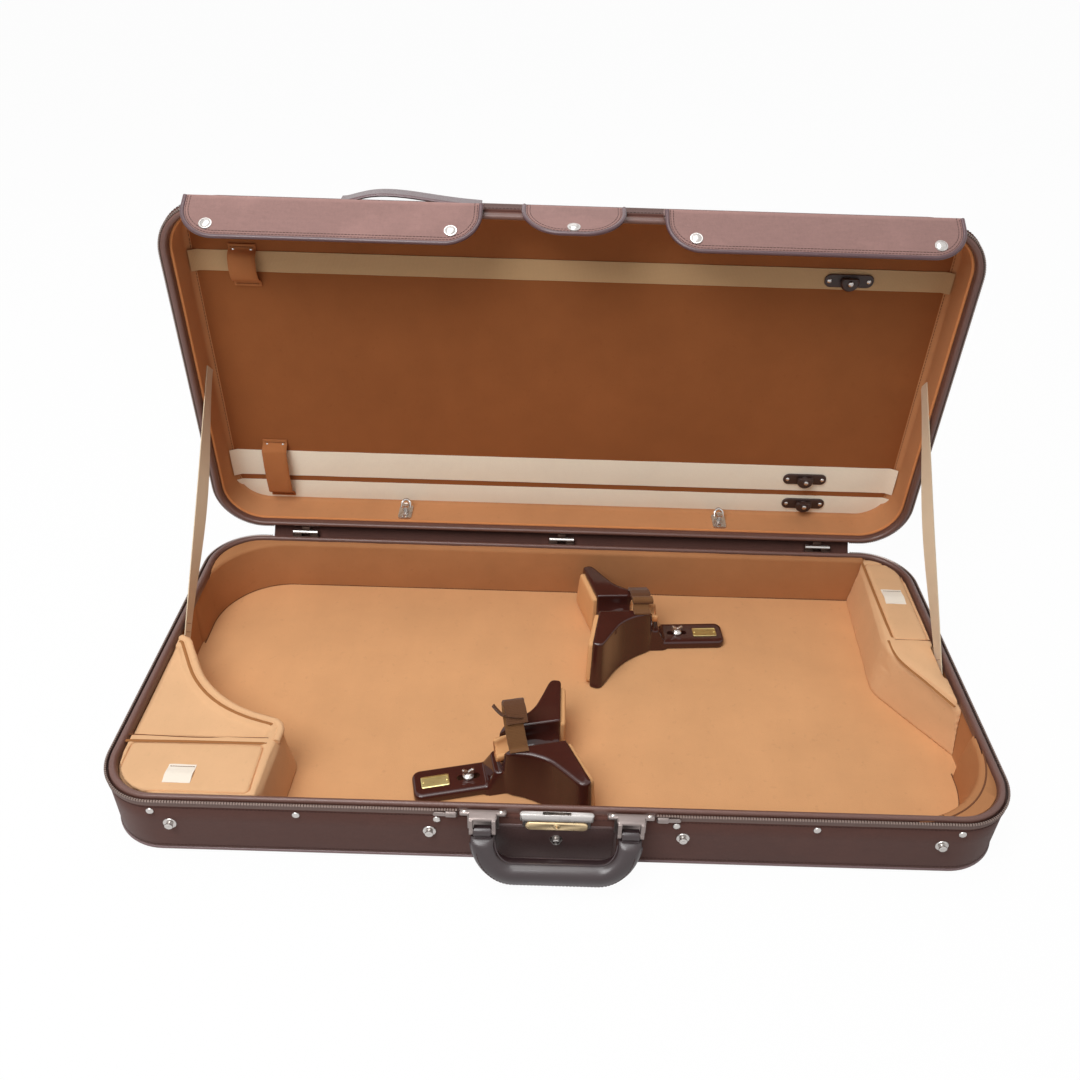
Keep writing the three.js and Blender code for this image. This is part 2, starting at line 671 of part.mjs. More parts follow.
const leftBlock = solid(loft(leftPlan, blockLevels)).intersect(blockRoom).subtract(panelCut).subtract(grooveCut)
  .subtract(pocketCut(LEFT_LID_SPAN_X, LEFT_LID_SPAN_Y));
piece("left_front_block", leftBlock, VELVET_LIGHT);

const rightPlan = outline([
  [CASE_LENGTH * HALF_SHARE, RIGHT_BLOCK_END_Y],
  [CASE_LENGTH * HALF_SHARE, -frontY],
  [RIGHT_BLOCK_BACK_X, -frontY],
  [...RIGHT_BLOCK_BEND, RIGHT_BLOCK_BEND_RADIUS],
]);
const tapeSlot = box([TAPE_SLOT_X, CASE_LENGTH], TAPE_SLOT_SPAN_Y, [TAPE_SLOT_FLOOR, PAD_TOP + OVERRUN]);
const rightBlock = solid(loft(rightPlan, blockLevels)).intersect(blockRoom).intersect(padGuard).subtract(tapeSlot)
  .subtract(pocketCut(RIGHT_LID_SPAN_X, RIGHT_LID_SPAN_Y));
piece("right_rear_block", rightBlock, VELVET_LIGHT);
piece("left_pocket_lid", pocketLid(LEFT_LID_SPAN_X, LEFT_LID_SPAN_Y), VELVET_LIGHT);
piece("right_pocket_lid", pocketLid(RIGHT_LID_SPAN_X, RIGHT_LID_SPAN_Y), VELVET_LIGHT);

// Cradles
function halfToFull(half) {
  const [face, tip, ...flank] = half;
  const curve = new THREE.SplineCurve(flank.map(([u, v]) => new THREE.Vector2(u, v)));
  const smooth = curve.getPoints(flank.length + 3);
  const near = [new THREE.Vector2(...face), new THREE.Vector2(...tip), ...smooth];
  const far = near.slice(1, -1).reverse().map((point) => new THREE.Vector2(point.x, -point.y));
  return near.concat(far).reverse();
}

function uProfile(half, low, high) {
  const points = [new THREE.Vector2(half, high), new THREE.Vector2(-half, high)];
  for (let step = 0; step <= ROUND_SIDES / 2; step += 1) {
    const angle = Math.PI + (Math.PI * step * 2) / ROUND_SIDES;
    points.push(new THREE.Vector2(half * Math.cos(angle), low + half + half * Math.sin(angle)));
  }
  return points;
}

// Channel along the cradle, sloping down toward the scroll.
function channel(half, lowShift, span, high) {
  const slope = (TROUGH_HIGH_END - TROUGH_LOW_END) / TROUGH_LENGTH;
  return between(uProfile(half, 0, high), span, (point, u) => {
    const floor = TROUGH_HIGH_END - TROUGH_HALF - slope * u + lowShift;
    return new THREE.Vector3(u, point.x, point.y + floor);
  });
}

function wingPad(side) {
  const inner = -PAD_THICKNESS * Math.tan(CRADLE_FACE_ANGLE);
  const face = outline([
    [inner, PAD_LOW], [PAD_REACH_LOW, PAD_LOW, PAD_CORNER], [PAD_REACH_HIGH, PAD_HIGH, PAD_CORNER], [inner, PAD_HIGH],
  ]);
  const slab = loft(face, [[-PAD_THICKNESS, PAD_ROUND], [PAD_ROUND - PAD_THICKNESS, 0], [-SEAT_GAP, 0]]);
  const along = new THREE.Vector3(-Math.sin(CRADLE_FACE_ANGLE), Math.cos(CRADLE_FACE_ANGLE), 0);
  const up = new THREE.Vector3(0, 0, 1);
  slab.applyMatrix4(new THREE.Matrix4().makeBasis(along, up, along.clone().cross(up)));
  slab.scale(1, side, 1);
  return solid(slab).intersect(side > 0
    ? box([-CASE_DEPTH, CASE_DEPTH], [-WELD, CASE_DEPTH], [0, CASE_DEPTH])
    : box([-CASE_DEPTH, CASE_DEPTH], [-CASE_DEPTH, WELD], [0, CASE_DEPTH]));
}

const saddleFloorRing = halfToFull(CRADLE_FLOOR_HALF);
const saddleTopRing = halfToFull(CRADLE_TOP_HALF);
const saddleLevels = CRADLE_LEVEL_SHARES.map((share) => [share * CRADLE_TALL, share ** CRADLE_FLARE_SHARE, 0])
  .concat(edgeUp(CRADLE_TALL, CRADLE_EDGE).slice(1).map(([z, inset]) => [z, 1, inset]));
const saddleRings = saddleLevels.map(([, share, inset]) => drawnIn(
  saddleFloorRing.map((point, index) => point.clone().lerp(saddleTopRing[index], share)), inset));
const saddleBody = solid(loftRings(saddleRings, saddleLevels.map(([z]) => z)));
const footPlan = spanned([FOOT_START, FOOT_END], [-FOOT_HALF, FOOT_HALF], FOOT_CORNER);
const footBody = solid(loft(footPlan, [[0, 0], ...edgeUp(FOOT_HEIGHT, FOOT_EDGE)]));
const slotHalf = SCREW_RADIUS + SCREW_CLEARANCE;
const slotReach = CRADLE_TRAVEL + slotHalf;
const slotPlan = spanned([SCREW_U - slotReach, SCREW_U + slotReach], [-slotHalf, slotHalf], slotHalf - END_FLAT);
const slotCut = solid(loft(slotPlan, [[-OVERRUN, 0], [FOOT_HEIGHT + OVERRUN, 0]]));
const troughSpan = [-CRADLE_TALL, TROUGH_LENGTH + CRADLE_EDGE + OVERRUN];
const troughCut = channel(TROUGH_HALF, 0, troughSpan, CRADLE_TALL);
const cradleBody = saddleBody.subtract(troughCut).add(footBody).subtract(slotCut);
const liningHalf = TROUGH_HALF - SEAT_GAP;
const liningSpan = [-PAD_THICKNESS + PAD_ROUND, TROUGH_LENGTH - OVERRUN];
const liningOuter = channel(liningHalf, SEAT_GAP, liningSpan, CRADLE_TALL);
const liningInner = channel(liningHalf - CHANNEL_LINING, SEAT_GAP + CHANNEL_LINING, troughSpan, CRADLE_TALL);
const liningTrim = box([-CASE_DEPTH, CASE_DEPTH], [-CASE_DEPTH, CASE_DEPTH], [0, CRADLE_TALL - CRADLE_EDGE]);
const wingPads = wingPad(1).add(wingPad(-1)).subtract(liningInner);
const padSlabs = wingPads.add(liningOuter.subtract(liningInner).intersect(liningTrim));

function strapBody(line) {
  const low = CRADLE_TALL + STRAP_LIFT + STRAP_THICKNESS * HALF_SHARE;
  return between(bandOutline(line, STRAP_THICKNESS), STRAP_SPAN_U, (point, u) => new THREE.Vector3(u, point.x, point.y + low));
}

function wingScrew() {
  const low = BASE_FLOOR + SEAT_GAP - FLOOR_TOP;
  const shoulder = FOOT_HEIGHT + CRADLE_LIFT + SEAT_GAP;
  const crown = shoulder + SCREW_FLANGE;
  const stem = turned([[0, low], [SCREW_RADIUS, low], [SCREW_RADIUS, shoulder], [SCREW_FLANGE_RADIUS, shoulder],
    [SCREW_FLANGE_RADIUS, crown], [WING_NECK, crown + SCREW_FLANGE], [0, crown + SCREW_FLANGE]], [0, 0, 0], [0, 0, 1]);
  const half = WING_SPAN * HALF_SHARE;
  const wing = outline([[-WING_WAIST * HALF_SHARE, 0], [WING_WAIST * HALF_SHARE, 0], [half, WING_HEIGHT, WING_TIP],
    [0, WING_WAIST], [-half, WING_HEIGHT, WING_TIP]]);
  const blade = loft(wing, [[-WING_THICKNESS * HALF_SHARE, 0], [WING_THICKNESS * HALF_SHARE, 0]]);
  blade.rotateX(Math.PI / 2).translate(0, 0, crown);
  return stem.add(solid(blade));
}

function addCradle(side, at, turn, strapLine) {
  const group = new THREE.Group();
  group.position.set(at[0], at[1], FLOOR_TOP + CRADLE_LIFT);
  group.rotation.z = turn;
  caseGroup.add(group);
  piece(`${side}_cradle`, cradleBody, MOULDED, group);
  piece(`${side}_cradle_pad`, padSlabs, VELVET_LIGHT, group);
  piece(`${side}_cradle_strap`, strapBody(strapLine), STRAPPING, group);
  const screw = new THREE.Group();
  screw.position.set(screwPlaces[side].x, screwPlaces[side].y, FLOOR_TOP);
  screw.rotation.z = turn;
  caseGroup.add(screw);
  piece(`${side}_wing_screw`, wingScrew(), METAL, screw);
}

addCradle("rear", REAR_CRADLE_AT, REAR_CRADLE_TURN, CLOSED_STRAP_LINE);
addCradle("front", FRONT_CRADLE_AT, FRONT_CRADLE_TURN, OPEN_STRAP_LINE);

// Zip halves on the base and their sliders
const zipTop = SHELL_TOP + ZIP_HEIGHT;
const zipRing = solid(loft(plan(-ZIP_PROUD), [[SHELL_TOP, 0], [zipTop, 0]]))
  .subtract(solid(loft(plan(ZIP_INSET), [[SHELL_TOP - OVERRUN, 0], [zipTop + OVERRUN, 0]])));
for (const side of [-1, 1]) {
  const label = side < 0 ? "left" : "right";
  const ends = side < 0 ? (x) => [-CASE_LENGTH, -x] : (x) => [x, CASE_LENGTH];
  const zone = box(ends(ZIP_FRONT_X), [-CASE_DEPTH, 0], [0, RIM_TOP])
    .add(box(ends(ZIP_BACK_X), [-CASE_DEPTH, CASE_DEPTH], [0, RIM_TOP]));
  piece(`base_zip_${label}`, zipRing.intersect(zone), ZIPPER);
  const back = frontY - ZIP_PROUD - SEAT_GAP;
  const mid = SHELL_TOP + ZIP_HEIGHT * HALF_SHARE;
  const body = spanned([-SLIDER_LENGTH * HALF_SHARE, SLIDER_LENGTH * HALF_SHARE],
    [-SLIDER_HEIGHT * HALF_SHARE, SLIDER_HEIGHT * HALF_SHARE], SLIDER_THICKNESS);
  const slider = loft(body, [[0, 0], [SLIDER_THICKNESS - SLIDER_PULL_THICKNESS, 0], [SLIDER_THICKNESS, SLIDER_PULL_THICKNESS]]);
  slider.rotateX(Math.PI / 2).translate(side * SLIDER_X, back, mid);
  const pull = spanned([0, SLIDER_PULL_LENGTH], [-SLIDER_PULL_HEIGHT * HALF_SHARE, SLIDER_PULL_HEIGHT * HALF_SHARE],
    SLIDER_PULL_HEIGHT * HALF_SHARE - END_FLAT);
  const tab = loft(pull, [[0, 0], [SLIDER_PULL_THICKNESS, 0]]);
  tab.rotateX(Math.PI / 2).scale(side, 1, 1).translate(side * SLIDER_X, back, mid);
  piece(`zip_slider_${label}`, solid(slider).add(solid(tab)), METAL);
}

// Snap studs
const studProfile = [[0, 0], [STUD_RADIUS, 0], [STUD_RADIUS, STUD_FLANGE], [STUD_WAIST_RADIUS, STUD_FLANGE],
  [STUD_POST_RADIUS, STUD_REACH - STUD_FLANGE], [STUD_WAIST_RADIUS, STUD_REACH], [0, STUD_REACH]];
const studPlaces = {
  left_outer: [-OUTER_STUD_X, STUD_Z],
  left_inner: [-INNER_STUD_X, STUD_Z],
  middle: [0, MIDDLE_STUD_Z],
  right_inner: [INNER_STUD_X, STUD_Z],
  right_outer: [OUTER_STUD_X, STUD_Z],
};
for (const [label, [x, z]] of Object.entries(studPlaces)) {
  piece(`snap_stud_${label}`, turned(studProfile, [x, frontY, z], [0, -1, 0]), METAL);
}

// Handle mounts and handle
const pinY = frontY - PIN_OUT;
for (const side of [-1, 1]) {
  const label = side < 0 ? "left" : "right";
  const x = side * HANDLE_X;
  const half = MOUNT_LENGTH * HALF_SHARE;
  const nose = CHEEK_GAP * HALF_SHARE + CHEEK_THICKNESS + 1;
  const plateLevels = [[MOUNT_TOP - MOUNT_PLATE, 0], [MOUNT_TOP - 1, 0], [MOUNT_TOP, 1]];
  const wings = spanned([x - half, x + half], [frontY - MOUNT_WING_REACH, frontY], MOUNT_CORNER);
  const front = spanned([x - nose, x + nose], [frontY - MOUNT_REACH, frontY], MOUNT_CORNER);
  let mount = solid(loft(wings, plateLevels)).add(solid(loft(front, plateLevels)));
  mount = mount.add(box([x - half, x + half], [frontY - MOUNT_BACK_PLATE, frontY], [MOUNT_BACK_LOW, MOUNT_TOP - 1]));
  for (const end of [-1, 1]) {
    const inner = x + end * CHEEK_GAP * HALF_SHARE;
    const outer = inner + end * CHEEK_THICKNESS;
    const span = end < 0 ? [outer, inner] : [inner, outer];
    const depth = CHEEK_DEPTH * HALF_SHARE;
    mount = mount.add(box(span, [pinY - depth, pinY + depth], [PIN_Z, MOUNT_TOP - 1]));
    mount = mount.add(bar([span[0], pinY, PIN_Z], [span[1], pinY, PIN_Z], depth + 1));
  }
  const reach = CHEEK_GAP * HALF_SHARE + 1;
  mount = mount.add(bar([x - reach, pinY, PIN_Z], [x + reach, pinY, PIN_Z], PIN_RADIUS));
  piece(`handle_mount_${label}`, mount, METAL);
}

// Rounded section of the handle at one station of its path.
function handleRing(centre, across, inward, halfAcross, halfInward) {
  return Array.from({ length: ROUND_SIDES }, (unused, side) => {
    const angle = (2 * Math.PI * side) / ROUND_SIDES;
    const point = centre.clone().addScaledVector(across, halfAcross * Math.cos(angle));
    return point.addScaledVector(inward, halfInward * Math.sin(angle));
  });
}

const gripY = frontY - GRIP_OUT;
const handleStations = [];
const stemTop = PIN_Z - STEM_START;
const bendTop = GRIP_Z + STEM_BEND;
const bendX = HANDLE_X - STEM_BEND;
for (let step = 0; step < 2; step += 1) {
  const share = step / 2;
  handleStations.push([HANDLE_X, THREE.MathUtils.lerp(stemTop, bendTop, share), 0, share * HALF_SHARE * HALF_SHARE]);
}
for (let step = 0; step <= BEND_STATIONS; step += 1) {
  const angle = ((Math.PI / 2) * step) / BEND_STATIONS;
  const share = step / BEND_STATIONS;
  const z = bendTop - STEM_BEND * Math.sin(angle);
  handleStations.push([bendX + STEM_BEND * Math.cos(angle), z, angle, 1 - (1 - share) ** 2 * (1 - HALF_SHARE * HALF_SHARE)]);
}
const rightStations = handleStations.map(([x, z, angle, share]) => {
  const inwardShare = Math.min(1, share);
  const centre = new THREE.Vector3(x, THREE.MathUtils.lerp(pinY, gripY, inwardShare), z);
  const across = new THREE.Vector3(Math.cos(angle), 0, -Math.sin(angle));
  const halfAcross = THREE.MathUtils.lerp(STEM_HALF_WIDTH, GRIP_HALF_HEIGHT, inwardShare);
  const halfInward = THREE.MathUtils.lerp(STEM_HALF_THICKNESS, GRIP_HALF_THICKNESS, inwardShare);
  return handleRing(centre, across, new THREE.Vector3(0, 1, 0), halfAcross, halfInward);
});
const leftStations = rightStations.map((ring) => ring.map((point) => new THREE.Vector3(-point.x, point.y, point.z)));
const gripRings = rightStations.concat(leftStations.reverse());
let handle = solid(skin(gripRings, fanFaces(ROUND_SIDES), fanFaces(ROUND_SIDES)));
for (const side of [-1, 1]) {
  const x = side * HANDLE_X;
  const half = EYE_WIDTH * HALF_SHARE;
  const from = [x - half, pinY, PIN_Z];
  const to = [x + half, pinY, PIN_Z];
  const neck = box([x - half, x + half], [pinY - EYE_RADIUS, pinY + EYE_RADIUS], [stemTop - 1, PIN_Z]);
  const bore = bar([x - HANDLE_X, pinY, PIN_Z], [x + HANDLE_X, pinY, PIN_Z], PIN_RADIUS + EYE_CLEARANCE);
  handle = handle.add(neck.add(bar(from, to, EYE_RADIUS))).subtract(bore);
}
piece("handle", handle, LEATHERY);

// Lock: body, lever, key barrel
const lockPlan = spanned([-LOCK_HALF, LOCK_HALF], [frontY - LOCK_REACH, frontY], LOCK_CORNER);
const lockSlot = box([-LOCK_SLOT_HALF, LOCK_SLOT_HALF], LOCK_SLOT_SPAN.map((out) => frontY - out).reverse(),
  [STRIKE_LOW - 1, LOCK_TOP + OVERRUN]);
const lockBack = box([-LOCK_HALF + LOCK_CORNER, LOCK_HALF - LOCK_CORNER], [frontY - LOCK_BACK_PLATE, frontY],
  [LOCK_BACK_LOW, LOCK_LOW + 1]);
const lockBody = solid(loft(lockPlan, [[LOCK_LOW, 1], [LOCK_LOW + 1, 0], [LOCK_TOP - 1, 0], [LOCK_TOP, 1]]));
piece("lock_body", lockBody.add(lockBack).subtract(lockSlot), METAL);
const leverFace = spanned([-LEVER_HALF, LEVER_HALF], [LEVER_LOW, LEVER_TOP], LEVER_CORNER);
const leverBlank = loft(leverFace, [[0, 0], [LEVER_THICKNESS - LEVER_EDGE, 0], [LEVER_THICKNESS, LEVER_EDGE]]);
leverBlank.rotateX(Math.PI / 2).translate(0, frontY - LEVER_BACK, 0);
const barrelBack = frontY - LEVER_BACK + 1;
const barrelHole = bar([0, barrelBack, BARREL_Z], [0, barrelBack - LEVER_THICKNESS - OVERRUN, BARREL_Z], BARREL_RADIUS + SEAT_GAP);
piece("lock_lever", solid(leverBlank).subtract(barrelHole), BRASS);
const barrelFront = frontY - LEVER_BACK - BARREL_LENGTH;
const keySlot = box([-KEY_SLOT_WIDTH * HALF_SHARE, KEY_SLOT_WIDTH * HALF_SHARE], [barrelFront - OVERRUN, barrelFront + KEY_SLOT_DEPTH],
  [BARREL_Z - KEY_SLOT_LENGTH * HALF_SHARE, BARREL_Z + KEY_SLOT_LENGTH * HALF_SHARE]);
const barrel = bar([0, barrelFront + BARREL_LENGTH, BARREL_Z], [0, barrelFront, BARREL_Z], BARREL_RADIUS);
piece("key_barrel", barrel.subtract(keySlot), BRASS);

// Hinges: outer knuckles and pin on the base leaf, middle knuckle on the lid leaf
const backY = -frontY;
const hingeHalf = HINGE_WIDTH * HALF_SHARE;
for (const [label, x] of [["left", -HINGE_X], ["middle", 0], ["right", HINGE_X]]) {
  const line = (from, to, radius) => bar([x + from, hingeY, HINGE_Z], [x + to, hingeY, HINGE_Z], radius);
  const low = HINGE_Z - HINGE_LEAF_GAP;
  let base = box([x - hingeHalf, x + hingeHalf], [backY, backY + HINGE_LEAF], [low - HINGE_LEAF_LENGTH, low]);
  for (const end of [-1, 1]) {
    const inner = end * (HINGE_MIDDLE_HALF + HINGE_KNUCKLE_GAP);
    const span = [inner, end * hingeHalf].sort((a, b) => a - b);
    base = base.add(line(span[0], span[1], BARREL_OUTER));
    base = base.add(box([x + span[0], x + span[1]], [backY, hingeY], [low - HINGE_WEB, low]));
    base = base.add(box([x + span[0], x + span[1]], [hingeY - HINGE_WEB, hingeY], [low - HINGE_WEB, HINGE_Z]));
  }
  base = base.add(line(-hingeHalf + 1, hingeHalf - 1, HINGE_PIN));
  piece(`hinge_base_${label}`, base, METAL);
  const high = HINGE_Z + HINGE_LEAF_GAP;
  const bore = line(-hingeHalf, hingeHalf, HINGE_PIN + HINGE_PIN_CLEARANCE);
  const middle = [x - HINGE_MIDDLE_HALF, x + HINGE_MIDDLE_HALF];
  const leafX = [x - hingeHalf, x + hingeHalf];
  const leafY = [backY + REST_GAP, backY + REST_GAP + HINGE_LEAF];
  let leaf = box(leafX, leafY, [LID_SHELL_LOW, LID_SHELL_LOW + HINGE_LEAF_LENGTH]);
  leaf = leaf.add(box(middle, leafY, [high, LID_SHELL_LOW + 1]));
  leaf = leaf.add(box(middle, [leafY[0], hingeY], [high, high + HINGE_WEB]));
  leaf = leaf.add(box(middle, [hingeY - HINGE_WEB, hingeY], [HINGE_Z, high + HINGE_WEB]));
  leaf = leaf.add(line(-HINGE_MIDDLE_HALF, HINGE_MIDDLE_HALF, BARREL_OUTER)).subtract(bore);
  piece(`hinge_lid_${label}`, leaf, METAL, lidGroup);
}

// Lid shell with the flaps' root ledges
const lidLevels = [[LID_SHELL_LOW, 0], ...edgeUp(LID_TOP, LID_EDGE, LID_EDGE_STEPS).map(([z, inset]) => [z, inset + LID_DRAFT])];
const lidHollowTop = LID_TOP - LID_THICKNESS;
const lidHollowLevels = [[LID_SHELL_LOW - OVERRUN, 0], ...edgeUp(lidHollowTop, LID_INNER_EDGE).map(([z, inset]) => [z, inset + LID_DRAFT])];
const ledgeProfile = [
  new THREE.Vector2(frontY + LEDGE_SINK, LEDGE_HIGH),
  new THREE.Vector2(frontY, LEDGE_HIGH),
  new THREE.Vector2(frontY - LEDGE_REACH, LEDGE_LOW + LEDGE_LIP),
  new THREE.Vector2(frontY - LEDGE_REACH, LEDGE_LOW),
  new THREE.Vector2(frontY - LEDGE_REACH + LEDGE_FLAT, LEDGE_LOW),
  new THREE.Vector2(frontY - LEDGE_SINK * HALF_SHARE, LID_SHELL_LOW),
  new THREE.Vector2(frontY + LEDGE_SINK, LID_SHELL_LOW),
];
function ledge(from, to) {
  return between(ledgeProfile, [from, to], (point, x) => new THREE.Vector3(x, point.x, point.y));
}
const [flapInnerX, flapOuterX] = SIDE_FLAP_SPAN_X;
const lidHollow = solid(loft(plan(WALL), lidHollowLevels));
const lidShell = solid(loft(plan(0), lidLevels))
  .add(ledge(-flapOuterX, -flapInnerX))
  .add(ledge(-MIDDLE_FLAP_HALF, MIDDLE_FLAP_HALF))
  .add(ledge(flapInnerX, flapOuterX))
  .subtract(lidHollow);
piece("lid_shell", lidShell, CANVAS, lidGroup);

const lidBeadLevels = [...edgeDown(LID_LOW, BEAD_EDGE), [LID_SHELL_LOW - SEAT_GAP, 0]];
const lidBeadFlare = [[LID_LOW - OVERRUN, -BEAD_EDGE], ...flared(edgeDown(LID_LOW, BEAD_EDGE)), [LID_SHELL_LOW + OVERRUN, 0]];
piece("lid_rim", solid(loft(beadOut, lidBeadLevels)).subtract(solid(loft(beadIn, lidBeadFlare))), VINYL, lidGroup);

const liningOutLevels = [[LID_SHELL_LOW, 0],
  ...edgeUp(lidHollowTop - LINING_GAP, LID_INNER_EDGE).map(([z, inset]) => [z, inset + LID_DRAFT])];
const liningVoidLevels = [[LID_SHELL_LOW - OVERRUN, 0], ...edgeUp(LID_PANEL, LID_PANEL_EDGE)];
const lidVoid = centred(LID_VOID_LENGTH, LID_VOID_DEPTH, LID_VOID_CORNER);
const lidLining = solid(loft(plan(liningPlan), liningOutLevels)).subtract(solid(loft(lidVoid, liningVoidLevels)));
piece("lid_lining", lidLining, VELVET, lidGroup);

// Places in the lid are given by their distance from the hinge axis.
const fromHinge = ([near, far]) => [hingeY - far, hingeY - near];
const ribbonLow = LID_PANEL - RIBBON_THICKNESS;
const ribbonRoom = solid(loft(drawnIn(lidVoid, REST_GAP), [[LID_SHELL_LOW, 0], ...edgeUp(LID_PANEL - REST_GAP, LID_PANEL_EDGE)]));
for (const [label, span] of Object.entries(RIBBON_SPANS)) {
  const ribbon = box([-RIBBON_HALF, RIBBON_HALF], fromHinge(span), [ribbonLow, LID_PANEL]).intersect(ribbonRoom);
  piece(`ribbon_${label}`, ribbon, WEBBING, lidGroup);
}

// Loop that bridges ribbons: two feet on the panel and a raised middle.
function bowLoop(centreX, span, backRest) {
  const [front, back] = fromHinge(span);
  const half = LOOP_THICKNESS * HALF_SHARE;
  const footZ = LID_PANEL - REST_GAP - half;
  const backZ = backRest - REST_GAP - half;
  const crownZ = ribbonLow - LOOP_STAND;
  const ramp = LOOP_FOOT + LOOP_FOOT;
  const line = [[front, footZ], [front + LOOP_FOOT, footZ], [front + ramp, crownZ], [(front + back) * HALF_SHARE, crownZ - 1],
    [back - ramp, crownZ], [back - LOOP_FOOT, backZ], [back, backZ]];
  const ring = line.map(([y, z]) => new THREE.Vector2(y, z + half))
    .concat([...line].reverse().map(([y, z]) => new THREE.Vector2(y, z - half)));
  const ends = [centreX - LOOP_WIDTH * HALF_SHARE, centreX + LOOP_WIDTH * HALF_SHARE];
  return between(ring, ends, (point, x) => new THREE.Vector3(x, point.x, point.y));
}
piece("bow_loop_upper", bowLoop(UPPER_LOOP_X, UPPER_LOOP_SPAN, LID_PANEL), VELVET, lidGroup);
piece("bow_loop_lower", bowLoop(LOWER_LOOP_X, LOWER_LOOP_SPAN, ribbonLow), VELVET, lidGroup);

// Bow spinners: plate with a hub, and a turning lobe
for (const [label, [x, reach]] of Object.entries(SPINNER_PLACES)) {
  const y = hingeY - reach;
  const half = SPINNER_LENGTH * HALF_SHARE;
  const top = ribbonLow - SPINNER_PLATE;
  const plate = spanned([x - half, x + half], [y - SPINNER_WIDTH * HALF_SHARE, y + SPINNER_WIDTH * HALF_SHARE],
    SPINNER_WIDTH * HALF_SHARE - END_FLAT);
  const hub = bar([x, y, ribbonLow - 1], [x, y, top - SPINNER_HUB_HEIGHT], SPINNER_HUB);
  const base = solid(loft(plate, [[top, SPINNER_EDGE], [top + SPINNER_EDGE, 0], [ribbonLow - REST_GAP, 0]])).add(hub);
  piece(`spinner_base_${label}`, base, LEATHERY, lidGroup);
  const lobeTop = top - SPINNER_HUB_HEIGHT - SEAT_GAP;
  const lobe = new THREE.LatheGeometry([[0, 0], [ROTOR_RADIUS, 0], [ROTOR_RADIUS, ROTOR_EDGE], [ROTOR_RADIUS - ROTOR_EDGE, ROTOR_HEIGHT],
    [ROTOR_CAP_RADIUS, ROTOR_HEIGHT], [ROTOR_CAP_RADIUS, ROTOR_HEIGHT + ROTOR_CAP], [0, ROTOR_HEIGHT + ROTOR_CAP]]
    .map(([radius, height]) => new THREE.Vector2(radius, height)), ROUND_SIDES + ROUND_SIDES);
  lobe.rotateX(-Math.PI / 2).translate(x, y, lobeTop);
  const trim = box([x - CASE_DEPTH, x + CASE_DEPTH], [y - CASE_DEPTH, y - ROTOR_TRIM], [0, LID_TOP]);
  piece(`spinner_${label}`, solid(lobe).subtract(trim), LEATHERY, lidGroup);
}

// Hooks on the lid's rear wall
const lidWallY = LID_VOID_DEPTH * HALF_SHARE;
for (const side of [-1, 1]) {
  const x = side * HOOK_X;
  const half = HOOK_WIDTH * HALF_SHARE;
  const middle = (HOOK_SPAN[0] + HOOK_SPAN[1]) * HALF_SHARE;
  const face = outline([[x - half, HOOK_SPAN[0], HOOK_CORNER], [x + half, HOOK_SPAN[0], HOOK_CORNER],
    [x + half, HOOK_SPAN[1], HOOK_CORNER], [x, HOOK_SPAN[1] - HOOK_CORNER], [x - half, HOOK_SPAN[1], HOOK_CORNER]]);
  const plate = loft(face, [[0, 0], [HOOK_PLATE, 0]]);
  plate.rotateX(Math.PI / 2).translate(0, lidWallY - REST_GAP, 0);
  const post = turned([[0, 0], [HOOK_POST_RADIUS, 0], [HOOK_POST_RADIUS, HOOK_POST_REACH], [HOOK_HEAD_RADIUS, HOOK_POST_REACH],
    [HOOK_HEAD_RADIUS, HOOK_POST_REACH + HOOK_HEAD], [0, HOOK_POST_REACH + HOOK_HEAD]], [x, lidWallY - REST_GAP, middle], [0, -1, 0]);
  const hole = bar([x, lidWallY + 1, middle - HOOK_HOLE_REACH], [x, lidWallY - OVERRUN, middle - HOOK_HOLE_REACH], HOOK_HOLE);
  piece(`lid_hook_${side < 0 ? "left" : "right"}`, solid(plate).add(post).subtract(hole), METAL, lidGroup);
}

// Strike that enters the lock
const strikeSpan = STRIKE_SPAN.map((out) => frontY - out).reverse();
const strikeBase = box([-STRIKE_BASE_HALF, STRIKE_BASE_HALF], [frontY - STRIKE_BASE_REACH, strikeSpan[1]], [LEDGE_LOW - STRIKE_BASE, LEDGE_LOW - REST_GAP]);
const strikeTongue = box([-STRIKE_HALF, STRIKE_HALF], strikeSpan, [STRIKE_LOW, LEDGE_LOW - REST_GAP]);
piece("lock_strike", strikeBase.add(strikeTongue), METAL, lidGroup);

// Grab strap on the lid's front wall
const [grabLeft, grabRight] = GRAB_SPAN_X;
const grabLine = [];
for (let step = 0; step <= ROUND_SIDES; step += 1) {
  const share = step / ROUND_SIDES;
  const rise = GRAB_RISE * Math.sin(Math.PI * share) ** 2;
  grabLine.push([THREE.MathUtils.lerp(grabLeft + GRAB_FOOT, grabRight - GRAB_FOOT, share), rise]);
}
const grabPoints = [[grabLeft, 0], ...grabLine, [grabRight, 0]];
const grabRing = grabPoints.map(([x, rise]) => new THREE.Vector2(x, -rise - GRAB_THICKNESS))
  .concat([...grabPoints].reverse().map(([x, rise]) => new THREE.Vector2(x, -rise)));
const grabBand = loft(grabRing, [[GRAB_Z - GRAB_WIDTH * HALF_SHARE, 0], [GRAB_Z + GRAB_WIDTH * HALF_SHARE, 0]]);
grabBand.translate(0, frontY - REST_GAP, 0);
piece("grab_strap", solid(grabBand), VINYL, lidGroup);

